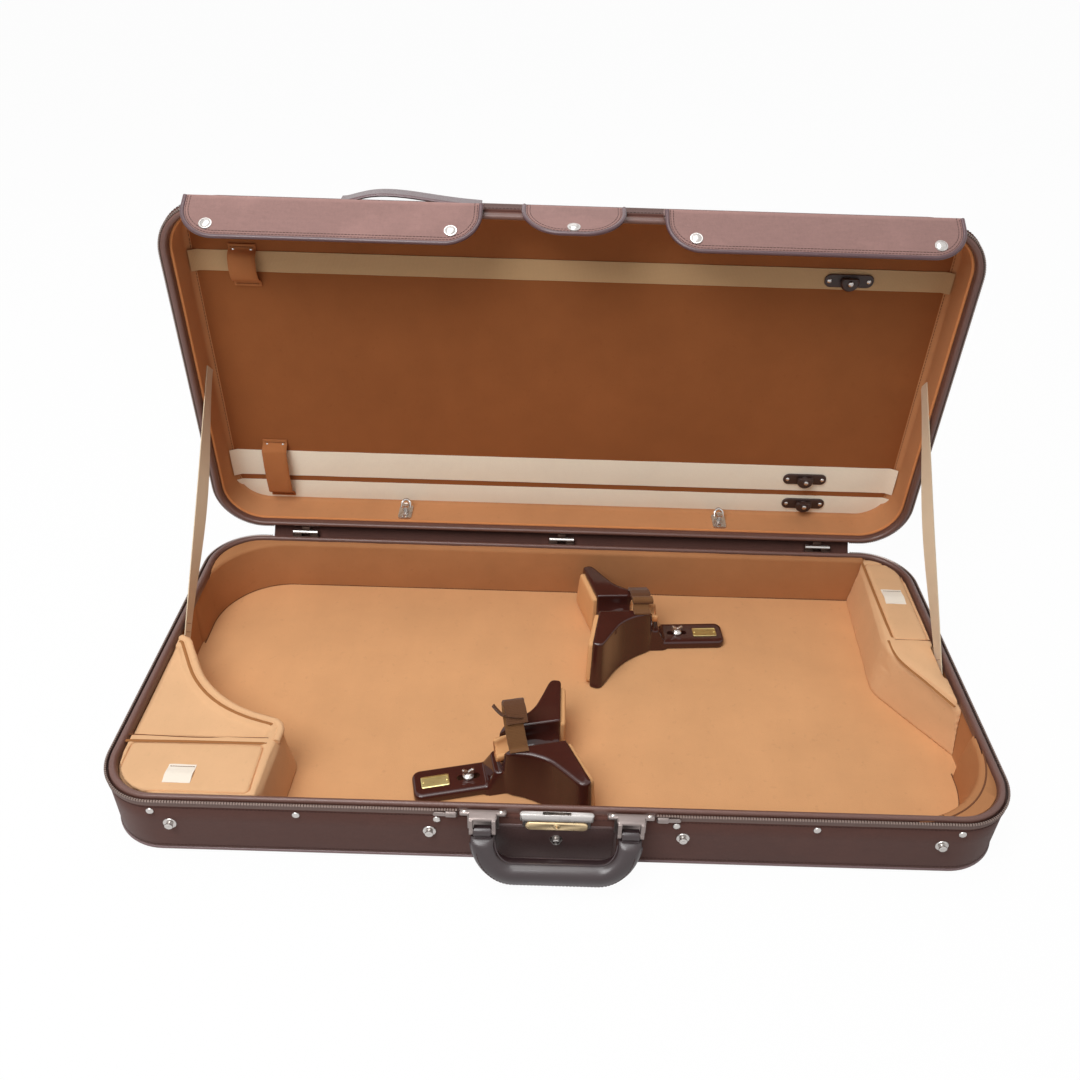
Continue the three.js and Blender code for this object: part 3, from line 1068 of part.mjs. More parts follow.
// Flaps, each hanging from its ledge with a bound edge and snap caps
const flapPivotZ = LEDGE_LOW - FLAP_PIVOT_DROP;
const flapPivotY = frontY - LEDGE_REACH;
function flapBody(spanX, length, radius, caps) {
  const [from, to] = spanX;
  const face = outline([[from, -length, radius], [to, -length, radius], [to, -FLAP_START], [from, -FLAP_START]]);
  const half = FLAP_THICKNESS * HALF_SHARE;
  const sheet = loft(face, [[-half, 0], [half, 0]]);
  const roll = loft(face, [[0, 0], [half + FLAP_ROLL - 1, 0], [half + FLAP_ROLL, HALF_SHARE]]);
  const rollCut = loft(drawnIn(face, FLAP_ROLL_HALF * 2), [[half, 0], [half + OVERRUN, 0]]);
  const rootCut = box([from - 1, to + 1], [-FLAP_START - FLAP_ROLL_HALF, OVERRUN], [half, half + OVERRUN]);
  let flap = solid(sheet).add(solid(roll).subtract(solid(rollCut)).subtract(rootCut));
  for (const [x, s] of caps) {
    const cap = [[0, 0], [CAP_RADIUS, 0], [CAP_RADIUS, 1], [CAP_RADIUS - 1, CAP_HEIGHT], [0, CAP_HEIGHT + HALF_SHARE]];
    flap = flap.add(turned([[0, -half], [1, -half], [1, 0], ...cap.slice(1)], [x, -s, half], [0, 0, 1]));
  }
  return flap;
}

function addFlap(label, made, droop) {
  const group = new THREE.Group();
  group.position.set(0, flapPivotY - hingeY, flapPivotZ - HINGE_Z);
  group.rotation.x = droop + Math.PI / 2;
  lidGroup.add(group);
  piece(`flap_${label}`, made, CANVAS, group);
}

const sideCaps = [[OUTER_CAP_X, SIDE_CAP_S], [INNER_CAP_X, SIDE_CAP_S]];
const leftCaps = sideCaps.map(([x, s]) => [-x, s]);
addFlap("left", flapBody([-flapOuterX, -flapInnerX], SIDE_FLAP_LENGTH, SIDE_FLAP_END_RADIUS, leftCaps), SIDE_FLAP_DROOP);
addFlap("middle", flapBody([-MIDDLE_FLAP_HALF, MIDDLE_FLAP_HALF], MIDDLE_FLAP_LENGTH, MIDDLE_FLAP_RADIUS, [[0, MIDDLE_CAP_S]]),
  MIDDLE_FLAP_DROOP);
addFlap("right", flapBody(SIDE_FLAP_SPAN_X, SIDE_FLAP_LENGTH, SIDE_FLAP_END_RADIUS, sideCaps), SIDE_FLAP_DROOP);

// Stay tapes from the lid's side walls to the base
for (const [label, side, tape] of [["left", -1, LEFT_TAPE], ["right", 1, RIGHT_TAPE]]) {
  const foot = new THREE.Vector2(...tape.foot);
  const head = new THREE.Vector2(...tape.head);
  const along = head.clone().sub(foot);
  const geometry = new THREE.BoxGeometry(TAPE_THICKNESS, TAPE_WIDTH, along.length());
  geometry.rotateX(-Math.atan2(along.x, along.y));
  const middle = foot.add(head).multiplyScalar(HALF_SHARE);
  geometry.translate(side * TAPE_X, middle.x, middle.y);
  piece(`stay_tape_${label}`, solid(geometry), WEBBING);
}

export default caseGroup;
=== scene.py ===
"""Looks of the double violin case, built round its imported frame, in millimetres of the case's own frame."""

import enum
import functools
import logging
import math
from collections.abc import Callable, Sequence
from dataclasses import dataclass, field

import bmesh
import bpy
import numpy as np
from mathutils import Matrix, Vector, noise


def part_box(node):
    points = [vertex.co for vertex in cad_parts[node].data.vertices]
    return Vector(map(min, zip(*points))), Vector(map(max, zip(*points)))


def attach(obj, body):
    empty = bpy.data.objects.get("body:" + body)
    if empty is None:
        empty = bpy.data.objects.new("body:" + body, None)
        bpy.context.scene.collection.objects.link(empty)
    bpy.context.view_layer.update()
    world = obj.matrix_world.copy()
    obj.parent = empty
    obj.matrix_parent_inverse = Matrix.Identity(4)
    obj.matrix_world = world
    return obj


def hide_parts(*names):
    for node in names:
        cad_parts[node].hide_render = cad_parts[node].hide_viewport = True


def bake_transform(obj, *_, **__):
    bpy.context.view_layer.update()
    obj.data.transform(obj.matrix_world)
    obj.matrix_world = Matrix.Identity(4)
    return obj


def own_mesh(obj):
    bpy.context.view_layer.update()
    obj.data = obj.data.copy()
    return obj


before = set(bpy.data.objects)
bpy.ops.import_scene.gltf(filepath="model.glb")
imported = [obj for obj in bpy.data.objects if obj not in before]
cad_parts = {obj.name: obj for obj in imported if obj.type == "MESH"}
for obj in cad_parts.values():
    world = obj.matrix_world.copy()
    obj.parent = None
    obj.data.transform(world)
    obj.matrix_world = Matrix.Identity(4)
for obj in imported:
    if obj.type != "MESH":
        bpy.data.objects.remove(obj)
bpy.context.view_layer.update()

log = logging.getLogger("violin_case")
MM = 0.001
Rgb = tuple[float, float, float]
Outline = list[Vector]
CASE_LENGTH = 795
CASE_DEPTH = 379
CASE_CORNER = 52.5
FRONT_Y = -CASE_DEPTH / 2
HINGE_Y = 194.4
HINGE_Z = 69.5
LID_PANEL_Z = 116
FLAP_SPANS = {"left": (-361, -84), "middle": (-48, 48), "right": (84, 361)}
OUTWARD = (0, -1, 0)
UP = (0, 0, 1)
DOWN = (0, 0, -1)
OPEN_ANGLE = math.radians(88)
LID = (
    Matrix.Translation((0, HINGE_Y, HINGE_Z))
    @ Matrix.Rotation(-OPEN_ANGLE, 4, "X")
    @ Matrix.Translation((0, -HINGE_Y, -HINGE_Z))
)
BASE = Matrix.Identity(4)


def linear(red: int, green: int, blue: int) -> Rgb:
    """Linear colour of one given as it looks on a screen."""
    parts = [value / 255 for value in (red, green, blue)]
    return tuple(p / 12.92 if p <= 0.04045 else ((p + 0.055) / 1.055) ** 2.4 for p in parts)


class Slot(enum.Enum):
    """Material slots of the finishes."""

    CANVAS = "canvas"
    VINYL = "vinyl"
    VELVET = "velvet"
    WEBBING = "webbing"
    MOULDED = "moulded"
    STRAPPING = "strapping"
    METAL = "metal"
    BRASS = "brass"
    ZIP = "zip"
    LEATHERY = "leathery"


class Wire:
    """A number socket whose operators add Math nodes."""

    def __init__(self, bench: "Bench", socket: bpy.types.NodeSocket) -> None:
        """Keep the bench and the socket."""
        self.bench = bench
        self.socket = socket

    def _math(self, operation: str, *values: "Wire | float") -> "Wire":
        """Add one Math node."""
        made = self.bench.node("ShaderNodeMath", {"operation": operation}, dict(enumerate(values)))
        return Wire(self.bench, made.outputs[0])

    def __add__(self, other: "Wire | float") -> "Wire":
        """Sum."""
        return self._math("ADD", self, other)

    __radd__ = __add__

    def __sub__(self, other: "Wire | float") -> "Wire":
        """Difference."""
        return self._math("SUBTRACT", self, other)

    def __rsub__(self, other: "Wire | float") -> "Wire":
        """Difference, reflected."""
        return self._math("SUBTRACT", other, self)

    def __mul__(self, other: "Wire | float") -> "Wire":
        """Product."""
        return self._math("MULTIPLY", self, other)

    __rmul__ = __mul__

    def most(self, other: "Wire | float") -> "Wire":
        """The larger of the two."""
        return self._math("MAXIMUM", self, other)

    def sine(self) -> "Wire":
        """Sine of the value."""
        return self._math("SINE", self)

    def clear(self, low: float, high: float) -> "Wire":
        """Share of the way from low to high, held between 0 and 1."""
        values = {"Value": self, "From Min": low, "From Max": high}
        return Wire(self.bench, self.bench.node("ShaderNodeMapRange", {"clamp": True}, values).outputs[0])


class Bench:
    """Node tree of one material, or of the world."""

    def __init__(self, holder: bpy.types.Material | bpy.types.World) -> None:
        """Empty the node tree.

        Args:
            holder: The material or the world.
        """
        holder.use_nodes = True
        self.holder = holder
        self.tree = holder.node_tree
        self.tree.nodes.clear()

    @functools.cached_property
    def coordinates(self) -> bpy.types.Node:
        """The tree's one Texture Coordinate node."""
        return self.node("ShaderNodeTexCoord")

    def node(self, kind: str, settings: dict | None = None, values: dict | None = None) -> bpy.types.Node:
        """Add any node.

        Args:
            kind: The node's type.
            settings: Properties that are set first.
            values: Values or links by socket name, identifier or place.

        Returns:
            The node.
        """
        made = self.tree.nodes.new(kind)
        for key, value in (settings or {}).items():
            setattr(made, key, value)
        for key, value in (values or {}).items():
            found = [s for s in made.inputs if key in (s.identifier, s.name)]
            socket = made.inputs[key] if isinstance(key, int) else found[0]
            if isinstance(value, Wire):
                self.tree.links.new(value.socket, socket)
            elif isinstance(value, bpy.types.NodeSocket):
                self.tree.links.new(value, socket)
            elif isinstance(value, tuple) and socket.type == "RGBA":
                socket.default_value = (*value[:3], 1)
            else:
                socket.default_value = value
        return made

    def place(self, stretch: Rgb = (1, 1, 1)) -> bpy.types.NodeSocket:
        """Place on the object in metres, stretched along its axes.

        Args:
            stretch: Factor along each axis.

        Returns:
            The vector socket.
        """
        if stretch == (1, 1, 1):
            return self.coordinates.outputs["Object"]
        values = {0: self.coordinates.outputs["Object"], 1: stretch}
        return self.node("ShaderNodeVectorMath", {"operation": "MULTIPLY"}, values).outputs[0]

    def noise(self, scale: float, detail: float = 2, stretch: Rgb = (1, 1, 1), rough: float = 0.5) -> Wire:
        """Cloudy noise from 0 to 1."""
        values = {"Vector": self.place(stretch), "Scale": scale, "Detail": detail, "Roughness": rough}
        return Wire(self, self.node("ShaderNodeTexNoise", None, values).outputs[0])

    def cells(self, scale: float, feature: str = "DISTANCE_TO_EDGE") -> Wire:
        """Cell pattern, as on leather grain."""
        values = {"Vector": self.place(), "Scale": scale}
        return Wire(self, self.node("ShaderNodeTexVoronoi", {"feature": feature}, values).outputs[0])

    def weave(self, pitch: float) -> tuple[Wire, Wire]:
        """Thread waves along both directions of the cloth.

        Args:
            pitch: Thread pitch in millimetres.

        Returns:
            Waves from 0 to 1 across the warp and across the weft.
        """
        split = self.node("ShaderNodeSeparateXYZ", None, {0: self.coordinates.outputs["UV"]})
        turn = 2 * math.pi / (pitch * MM)
        across, along = (Wire(self, split.outputs[axis]) for axis in (0, 1))
        return (across * turn).sine() * 0.5 + 0.5, (along * turn).sine() * 0.5 + 0.5

    def worn(self, low: float = 0.52, high: float = 0.6) -> Wire:
        """Mask of raised edges, where a surface wears."""
        return Wire(self, self.node("ShaderNodeNewGeometry").outputs["Pointiness"]).clear(low, high)

    def mix(self, share: Wire | float, first: "Rgb | bpy.types.NodeSocket",
            second: "Rgb | bpy.types.NodeSocket") -> bpy.types.NodeSocket:
        """Mix two colours.

        Args:
            share: Share of the second.
            first: First colour.
            second: Second colour.

        Returns:
            The colour socket.
        """
        values = {"Factor_Float": share, "A_Color": first, "B_Color": second}
        made = self.node("ShaderNodeMix", {"data_type": "RGBA"}, values)
        return next(s for s in made.outputs if s.identifier == "Result_Color")

    def bump(self, height: Wire, depth: float, strength: float = 1) -> bpy.types.NodeSocket:
        """Normal bent by a height."""
        values = {"Strength": strength, "Distance": depth * MM, "Height": height}
        return self.node("ShaderNodeBump", None, values).outputs[0]

    def close(self, values: dict) -> bpy.types.Material:
        """Finish the material with one principled shader.

        Args:
            values: Values or links of the shader's sockets.

        Returns:
            The material.
        """
        shader = self.node("ShaderNodeBsdfPrincipled", None, values)
        self.node("ShaderNodeOutputMaterial", None, {"Surface": shader.outputs[0]})
        return self.holder


@dataclass(frozen=True)
class Finish:
    """A named finish and its material slot."""

    name: str
    slot: Slot
    color: Rgb

    def material(self) -> bpy.types.Material:
        """The finish's material, made once."""
        return bpy.data.materials.get(self.name) or self.build()

    def build(self) -> bpy.types.Material:
        """Make the material."""
        raise NotImplementedError

    def shade(self, factor: float) -> Rgb:
        """The colour made darker or lighter."""
        return tuple(min(1, part * factor) for part in self.color)


@dataclass(frozen=True)
class Velvet(Finish):
    """Short pile cloth with brushed patches."""

    pile: float = 0.35
    patch: float = 0.16
    sheen: float = 0.3

    def build(self) -> bpy.types.Material:
        """Make the pile, its brushed patches and its crushed spots."""
        bench = Bench(bpy.data.materials.new(self.name))
        brushed = bench.noise(7, 4, (1, 1.6, 1), 0.6)
        streak = bench.noise(34, 3, (1, 0.35, 1))
        crushed = bench.noise(160, 3)
        fibre = bench.noise(1500, 2)
        tone = brushed.clear(0.3, 0.7) * 0.45 + streak.clear(0.25, 0.75) * 0.25
        tone = tone + crushed * 0.15 + fibre * 0.15
        tinted = bench.mix(tone, self.shade(1 - self.patch * 1.4), self.shade(1 + self.patch))
        deep = bench.mix(crushed.clear(0.62, 0.8) * 0.35, tinted, self.shade(0.72))
        height = fibre * 0.6 + crushed * 0.3 + streak * 0.1
        return bench.close({
            "Base Color": deep,
            "Roughness": 0.94 - tone * 0.08,
            "Sheen Weight": self.sheen,
            "Sheen Roughness": 0.45,
            "Sheen Tint": self.shade(1.15),
            "Specular IOR Level": 0.15,
            "Normal": bench.bump(height, self.pile),
        })


@dataclass(frozen=True)
class Canvas(Finish):
    """Plain woven cloth with uneven threads."""

    pitch: float = 0.95
    depth: float = 0.16

    def build(self) -> bpy.types.Material:
        """Make the weave, its slubs and its dusty patches."""
        bench = Bench(bpy.data.materials.new(self.name))
        warp, weft = bench.weave(self.pitch)
        slub = bench.noise(420, 3, (1, 0.25, 1)) * 0.5 + bench.noise(420, 3, (0.25, 1, 1)) * 0.5
        dust = bench.noise(11, 5, (1, 1, 1), 0.65)
        grain = bench.noise(1300, 2)
        thread = warp * weft * 0.45 + slub * 0.35 + grain * 0.2
        cloth = bench.mix(thread.clear(0.15, 0.75), self.shade(0.68), self.shade(1.3))
        worn = bench.mix(dust.clear(0.5, 0.78) * 0.3 + bench.worn() * 0.3, cloth, self.shade(1.9))
        return bench.close({
            "Base Color": worn,
            "Roughness": dust * 0.16 + 0.72,
            "Sheen Weight": 0.12,
            "Sheen Roughness": 0.5,
            "Specular IOR Level": 0.3,
            "Normal": bench.bump(thread, self.depth),
        })


@dataclass(frozen=True)
class Hide(Finish):
    """Grained vinyl or leather."""

    grain: float = 800
    depth: float = 0.12
    rough: float = 0.42
    coat: float = 0.15

    def build(self) -> bpy.types.Material:
        """Make the grain, its creases and its rubbed edges."""
        bench = Bench(bpy.data.materials.new(self.name))
        pebble = bench.cells(self.grain).clear(0, 0.12)
        crease = bench.noise(90, 4, (1, 0.5, 1))
        cloud = bench.noise(16, 4)
        body = bench.mix(pebble * 0.5 + cloud * 0.5, self.shade(0.72), self.shade(1.22))
        wear = bench.worn(0.51, 0.58) * 0.45 + crease.clear(0.62, 0.8) * 0.2
        rubbed = bench.mix(wear, body, self.shade(1.9))
        return bench.close({
            "Base Color": rubbed,
            "Roughness": cloud * 0.2 - pebble * 0.08 + self.rough,
            "Coat Weight": self.coat,
            "Coat Roughness": 0.22,
            "Normal": bench.bump(pebble * 0.6 + crease * 0.4, self.depth),
        })


@dataclass(frozen=True)
class Moulded(Finish):
    """Glossy moulded plastic."""

    rough: float = 0.2

    def build(self) -> bpy.types.Material:
        """Make the gloss, its fine scratches, its dust and its paler ridges."""
        bench = Bench(bpy.data.materials.new(self.name))
        flow = bench.noise(24, 4)
        scratch = bench.noise(700, 2, (1, 0.08, 1)).clear(0.66, 0.72)
        dust = bench.noise(260, 4).clear(0.6, 0.85)
        body = bench.mix(flow, self.shade(0.8), self.shade(1.25))
        # Paler along the raised ridges, and faintly dusty.
        dust_and_pale_ridges = bench.mix(dust * 0.05 + bench.worn(0.53, 0.62) * 0.2, body, self.shade(3.2))
        return bench.close({
            "Base Color": dust_and_pale_ridges,
            "Roughness": flow * 0.08 + scratch * 0.1 + dust * 0.12 + self.rough,
            "Specular IOR Level": 0.12,
            "Coat Weight": 0.75,
            "Coat Roughness": 0.07,
            "Normal": bench.bump(flow * 0.8 + scratch * 0.2, 0.2, 0.25),
        })


@dataclass(frozen=True)
class Metal(Finish):
    """Plated or polished metal."""

    rough: float = 0.2
    tarnish: Rgb = (0.2, 0.17, 0.15)

    def build(self) -> bpy.types.Material:
        """Make the polish, its smudges and its tarnish."""
        bench = Bench(bpy.data.materials.new(self.name))
        smudge = bench.noise(130, 4)
        pit = bench.noise(1800, 3).clear(0.62, 0.75)
        brush = bench.noise(900, 2, (0.1, 1, 1))
        body = bench.mix(brush, self.shade(0.86), self.shade(1.08))
        aged = bench.mix(smudge.clear(0.55, 0.8) * 0.4 + pit * 0.4, body, self.tarnish)
        return bench.close({
            "Base Color": aged,
            "Metallic": 1.0,
            "Roughness": smudge * 0.18 + pit * 0.2 + self.rough,
            "Normal": bench.bump(brush * 0.5 + pit * 0.5, 0.03),
        })


@dataclass(frozen=True)
class Webbing(Finish):
    """Narrow woven tape with ribs across it."""

    pitch: float = 1.3
    depth: float = 0.2
    fuzz: float = 0.2

    def build(self) -> bpy.types.Material:
        """Make the ribs, their threads and their soil."""
        bench = Bench(bpy.data.materials.new(self.name))
        warp, weft = bench.weave(self.pitch)
        fuzz = bench.noise(900, 3)
        soil = bench.noise(22, 5, (1, 2, 1), 0.65)
        rib = warp * 0.3 + weft * 0.3 + fuzz * 0.4
        cloth = bench.mix(rib.clear(0.2, 0.8), self.shade(0.93), self.shade(1.07))
        soiled = bench.mix(soil.clear(0.45, 0.8) * 0.16, cloth, self.shade(0.72))
        return bench.close({
            "Base Color": soiled,
            "Roughness": soil * 0.1 + 0.82,
            "Sheen Weight": self.fuzz,
            "Sheen Roughness": 0.5,
            "Specular IOR Level": 0.2,
            "Normal": bench.bump(rib, self.depth),
        })


FLOOR_VELVET = Velvet("floor_velvet", Slot.VELVET, linear(217, 163, 115), patch=0.09, sheen=0.12)
BLOCK_VELVET = Velvet("block_velvet", Slot.VELVET, linear(227, 181, 137), patch=0.1, sheen=0.1)
# The floor velvet is the cloth's own colour. The base wall, lid panel and lid side velvets are darker copies
# of that one cloth: painted shade of faces that turn away from the light.
BASE_WALL_SHADED_VELVET = Velvet("base_wall_velvet_shaded", Slot.VELVET, linear(180, 125, 83), patch=0.13, sheen=0.16)
LID_PANEL_SHADED_VELVET = Velvet("lid_shaded_velvet", Slot.VELVET, linear(152, 92, 52), patch=0.12, sheen=0.1)
LID_SIDE_SHADED_VELVET = Velvet("lid_side_velvet_shaded", Slot.VELVET, linear(196, 138, 94), patch=0.12, sheen=0.12)
LOOP_VELVET = Velvet("loop_velvet", Slot.VELVET, linear(176, 112, 68), patch=0.1, sheen=0.1)
PAD_VELVET = Velvet("pad_velvet", Slot.VELVET, linear(224, 170, 118), patch=0.12, sheen=0.12)
# The shell canvas is a darker copy of the flap canvas, which is the same cloth: painted shade on the shell's
# upright faces.
SHADED_SHELL_CANVAS = Canvas("shell_canvas_shaded", Slot.CANVAS, linear(83, 50, 42))
FLAP_CANVAS = Canvas("flap_canvas", Slot.CANVAS, linear(148, 114, 108))
RIM_VINYL = Hide("rim_vinyl", Slot.VINYL, linear(96, 64, 55), grain=700, rough=0.34, coat=0.25)
BINDING = Hide("binding_vinyl", Slot.VINYL, linear(74, 46, 50), grain=600, rough=0.28, coat=0.35)
PATCH_VINYL = Hide("patch_vinyl", Slot.VINYL, linear(74, 52, 50), grain=500, depth=0.05, rough=0.4)
PIPING = Hide("piping_vinyl", Slot.VINYL, linear(104, 82, 82), grain=900, rough=0.34)
HANDLE_HIDE = Hide("handle_hide", Slot.LEATHERY, linear(44, 30, 32), 900, depth=0.05, rough=0.3, coat=0.55)
BROWN_HIDE = Hide("spinner_leather", Slot.LEATHERY, linear(48, 29, 24), 900, depth=0.08, rough=0.4, coat=0.15)
CRADLE_PLASTIC = Moulded("cradle_plastic", Slot.MOULDED, linear(66, 33, 28), rough=0.1)
CHROME = Metal("chrome", Slot.METAL, linear(205, 200, 196), rough=0.16)
DULL_STEEL = Metal("dull_steel", Slot.METAL, linear(150, 138, 134), rough=0.26)
AGED_STEEL = Metal("aged_steel", Slot.METAL, linear(96, 78, 70), rough=0.42, tarnish=(0.08, 0.06, 0.05))
GILT = Metal("gilt", Slot.BRASS, linear(240, 214, 170), rough=0.2, tarnish=(0.45, 0.33, 0.2))
PLATE_GILT = Metal("plate_gilt", Slot.BRASS, linear(230, 216, 150), rough=0.22, tarnish=(0.42, 0.34, 0.16))
CREAM = Webbing("cream_ribbon", Slot.WEBBING, linear(252, 240, 220))
# Darker copy of the ribbon cream: painted shade on the upper ribbon, under the lid's top.
PAINTED_SHADE_CREAM = Webbing("upper_ribbon_shaded_weave", Slot.WEBBING, linear(198, 164, 122))
TAPE_CREAM = Webbing("stay_tape_weave", Slot.WEBBING, linear(218, 197, 168), pitch=1.6)
TAB_CREAM = Webbing("pull_tab_weave", Slot.WEBBING, linear(243, 232, 216), pitch=1.0)
HOOK_LOOP = Webbing("hook_and_loop", Slot.STRAPPING, linear(118, 80, 48), pitch=1.1, depth=0.4, fuzz=0.12)
LOOP_PILE = Webbing("loop_pile", Slot.STRAPPING, linear(96, 62, 40), pitch=1.4, depth=0.5, fuzz=0.14)
ZIP_TAPE = Webbing("zip_tape", Slot.ZIP, linear(112, 92, 86), pitch=0.8, fuzz=0.05)
ZIP_TEETH = Metal("zip_teeth", Slot.ZIP, linear(150, 132, 124), rough=0.32)
THREAD = Webbing("thread", Slot.VELVET, linear(120, 74, 44), pitch=0.4, fuzz=0.1)
DARK_THREAD = Webbing("dark_thread", Slot.CANVAS, linear(66, 44, 40), pitch=0.4, fuzz=0.1)
# Darker velvet for the soft creases: painted shade along the folds.
FOLD_SHADE_VELVET = Velvet("fold_shade_velvet", Slot.VELVET, linear(166, 112, 68), patch=0.1, sheen=0.1)
PALE_PIPING = Velvet("pale_piping", Slot.VELVET, linear(214, 142, 90), patch=0.08, sheen=0.1)


class Stitch(enum.Enum):
    """Stitch rows: pitch, length and half thickness of the thread."""

    EDGE = (3.4, 2.3, 0.3)
    PATCH = (3, 2, 0.3)
    TAPE = (2.2, 1.5, 0.25)
    PAD = (3.1, 2.4, 0.7)
    HANDLE = (3, 2, 0.28)
    FLAP = (3.1, 2.1, 0.28)
    PANEL = (3.6, 2.3, 0.35)
    LOOP = (2.4, 1.7, 0.3)


class Crease(enum.Enum):
    """Creases of the padding: half width and finish of the dark tube laid along each fold, as painted shade
    of the crease.
    """

    FINE = (0.7, THREAD)
    SOFT = (1.5, FOLD_SHADE_VELVET)


class Turned(enum.Enum):
    """Profiles of the small turned parts, as pairs of radius and height."""

    NAIL = ((3.5, 0), (3.5, 0.5), (3.0, 1.2), (2.0, 1.8), (0.9, 2.1), (0, 2.2))
    STUD = ((0, 0), (6, 0), (6, 0.5), (5.6, 1.1), (4.6, 1.3), (3.1, 1.5), (2.8, 2.2), (2.9, 2.9), (3.6, 3.6),
            (3.5, 4.3), (2.9, 4.8), (1.6, 4.9), (1.2, 4.6), (0, 4.5))
    CAP = ((6.3, 0), (6.3, 0.4), (5.9, 1.0), (5.2, 1.15), (4.9, 1.1), (4.4, 1.6), (3.2, 2.2),
           (1.7, 2.5), (0, 2.6))
    MOUNT_RIVET = ((1.8, 0), (1.8, 0.4), (1.2, 0.9), (0, 1.1))
    LOOP_PIN = ((1.7, 0), (1.7, 0.4), (1.1, 0.9), (0, 1.1))
    PLATE_PIN = ((0.8, 0), (0.8, 0.3), (0.4, 0.6), (0, 0.65))
    SPINNER_RIVET = ((2.3, 0), (2.3, 0.4), (1.6, 1), (0.7, 1.3), (0, 1.35))
    SPINNER_SCREW = ((2.6, 0), (2.6, 0.5), (1.9, 1.1), (0, 1.3))


def fillet(corners: Sequence[Sequence[float]], step: float = 5) -> Outline:
    """Outline through corners, each with its own radius.

    Args:
        corners: Corners as x, y and an optional radius.
        step: Degrees between points of an arc.

    Returns:
        The points in order.
    """
    points: Outline = []
    count = len(corners)
    for index, corner in enumerate(corners):
        here = Vector(corner[:2])
        radius = corner[2] if len(corner) > 2 else 0
        if not radius:
            points.append(here)
            continue
        before = (Vector(corners[index - 1][:2]) - here).normalized()
        after = (Vector(corners[(index + 1) % count][:2]) - here).normalized()
        half = math.acos(max(-1, min(1, before.dot(after)))) / 2
        centre = here + (before + after).normalized() * (radius / math.sin(half))
        start = here + before * (radius / math.tan(half)) - centre
        end = here + after * (radius / math.tan(half)) - centre
        turn = math.atan2(start.x * end.y - start.y * end.x, start.dot(end))
        steps = max(2, math.ceil(abs(math.degrees(turn)) / step))
        points += [centre + Matrix.Rotation(turn * k / steps, 2) @ start for k in range(steps + 1)]
    return points


def rounded(length: float, depth: float, radius: float, middle: tuple[float, float] = (0, 0),
            step: float = 5) -> Outline:
    """Rounded rectangle.

    Args:
        length: Size along x.
        depth: Size along y.
        radius: Corner radius.
        middle: Its middle.
        step: Degrees between points of an arc.

    Returns:
        The points, counterclockwise.
    """
    x, y = length / 2, depth / 2
    a, b = middle
    corners = [(a - x, b - y, radius), (a + x, b - y, radius), (a + x, b + y, radius), (a - x, b + y, radius)]
    return fillet(corners, step)


def plan(inset: float) -> Outline:
    """The case's own plan, drawn in."""
    return rounded(CASE_LENGTH - 2 * inset, CASE_DEPTH - 2 * inset, CASE_CORNER - inset)


def raised(outline: Sequence[Vector], z: float) -> list[Vector]:
    """The outline's points at one height."""
    return [Vector((*point, z)) for point in outline]


def smooth_line(points: Sequence[Sequence[float]], per_span: int = 8) -> list[Vector]:
    """Smooth open line through points.

    Args:
        points: Points to pass.
        per_span: Steps between two of them.

    Returns:
        The finer line.
    """
    line = [Vector(p) for p in points]
    ends = [line[0] * 2 - line[1], *line, line[-1] * 2 - line[-2]]
    fine: list[Vector] = []
    for a, b, c, d in zip(ends, ends[1:], ends[2:], ends[3:]):
        for k in range(per_span):
            t = k / per_span
            bent = (2 * a - 5 * b + 4 * c - d) * t**2 + (3 * b - a - 3 * c + d) * t**3
            fine.append(0.5 * (2 * b + (c - a) * t + bent))
    return [*fine, line[-1]]


def every(path: Sequence[Vector], pitch: float, closed: bool = False) -> list[tuple[Vector, Vector]]:
    """Places at an even pitch along a path, with its direction there.

    Args:
        path: Points of the path.
        pitch: Distance between places.
        closed: Whether it returns to its start.

    Returns:
        Pairs of place and direction.
    """
    points = [*path, path[0]] if closed else list(path)
    places: list[tuple[Vector, Vector]] = []
    wait = pitch / 2
    for a, b in zip(points, points[1:]):
        length = (b - a).length
        if length < 1e-9:
            continue
        along = (b - a) / length
        while wait <= length:
            places.append((a + along * wait, along))
            wait += pitch
        wait -= length
    return places


def beside(path: Sequence[Vector], inset: float, pitch: float = 4) -> list[tuple[float, float]]:
    """Even points of a line on the left hand of a path."""
    return [(p.x - along.y * inset, p.y + along.x * inset) for p, along in every(path, pitch)]


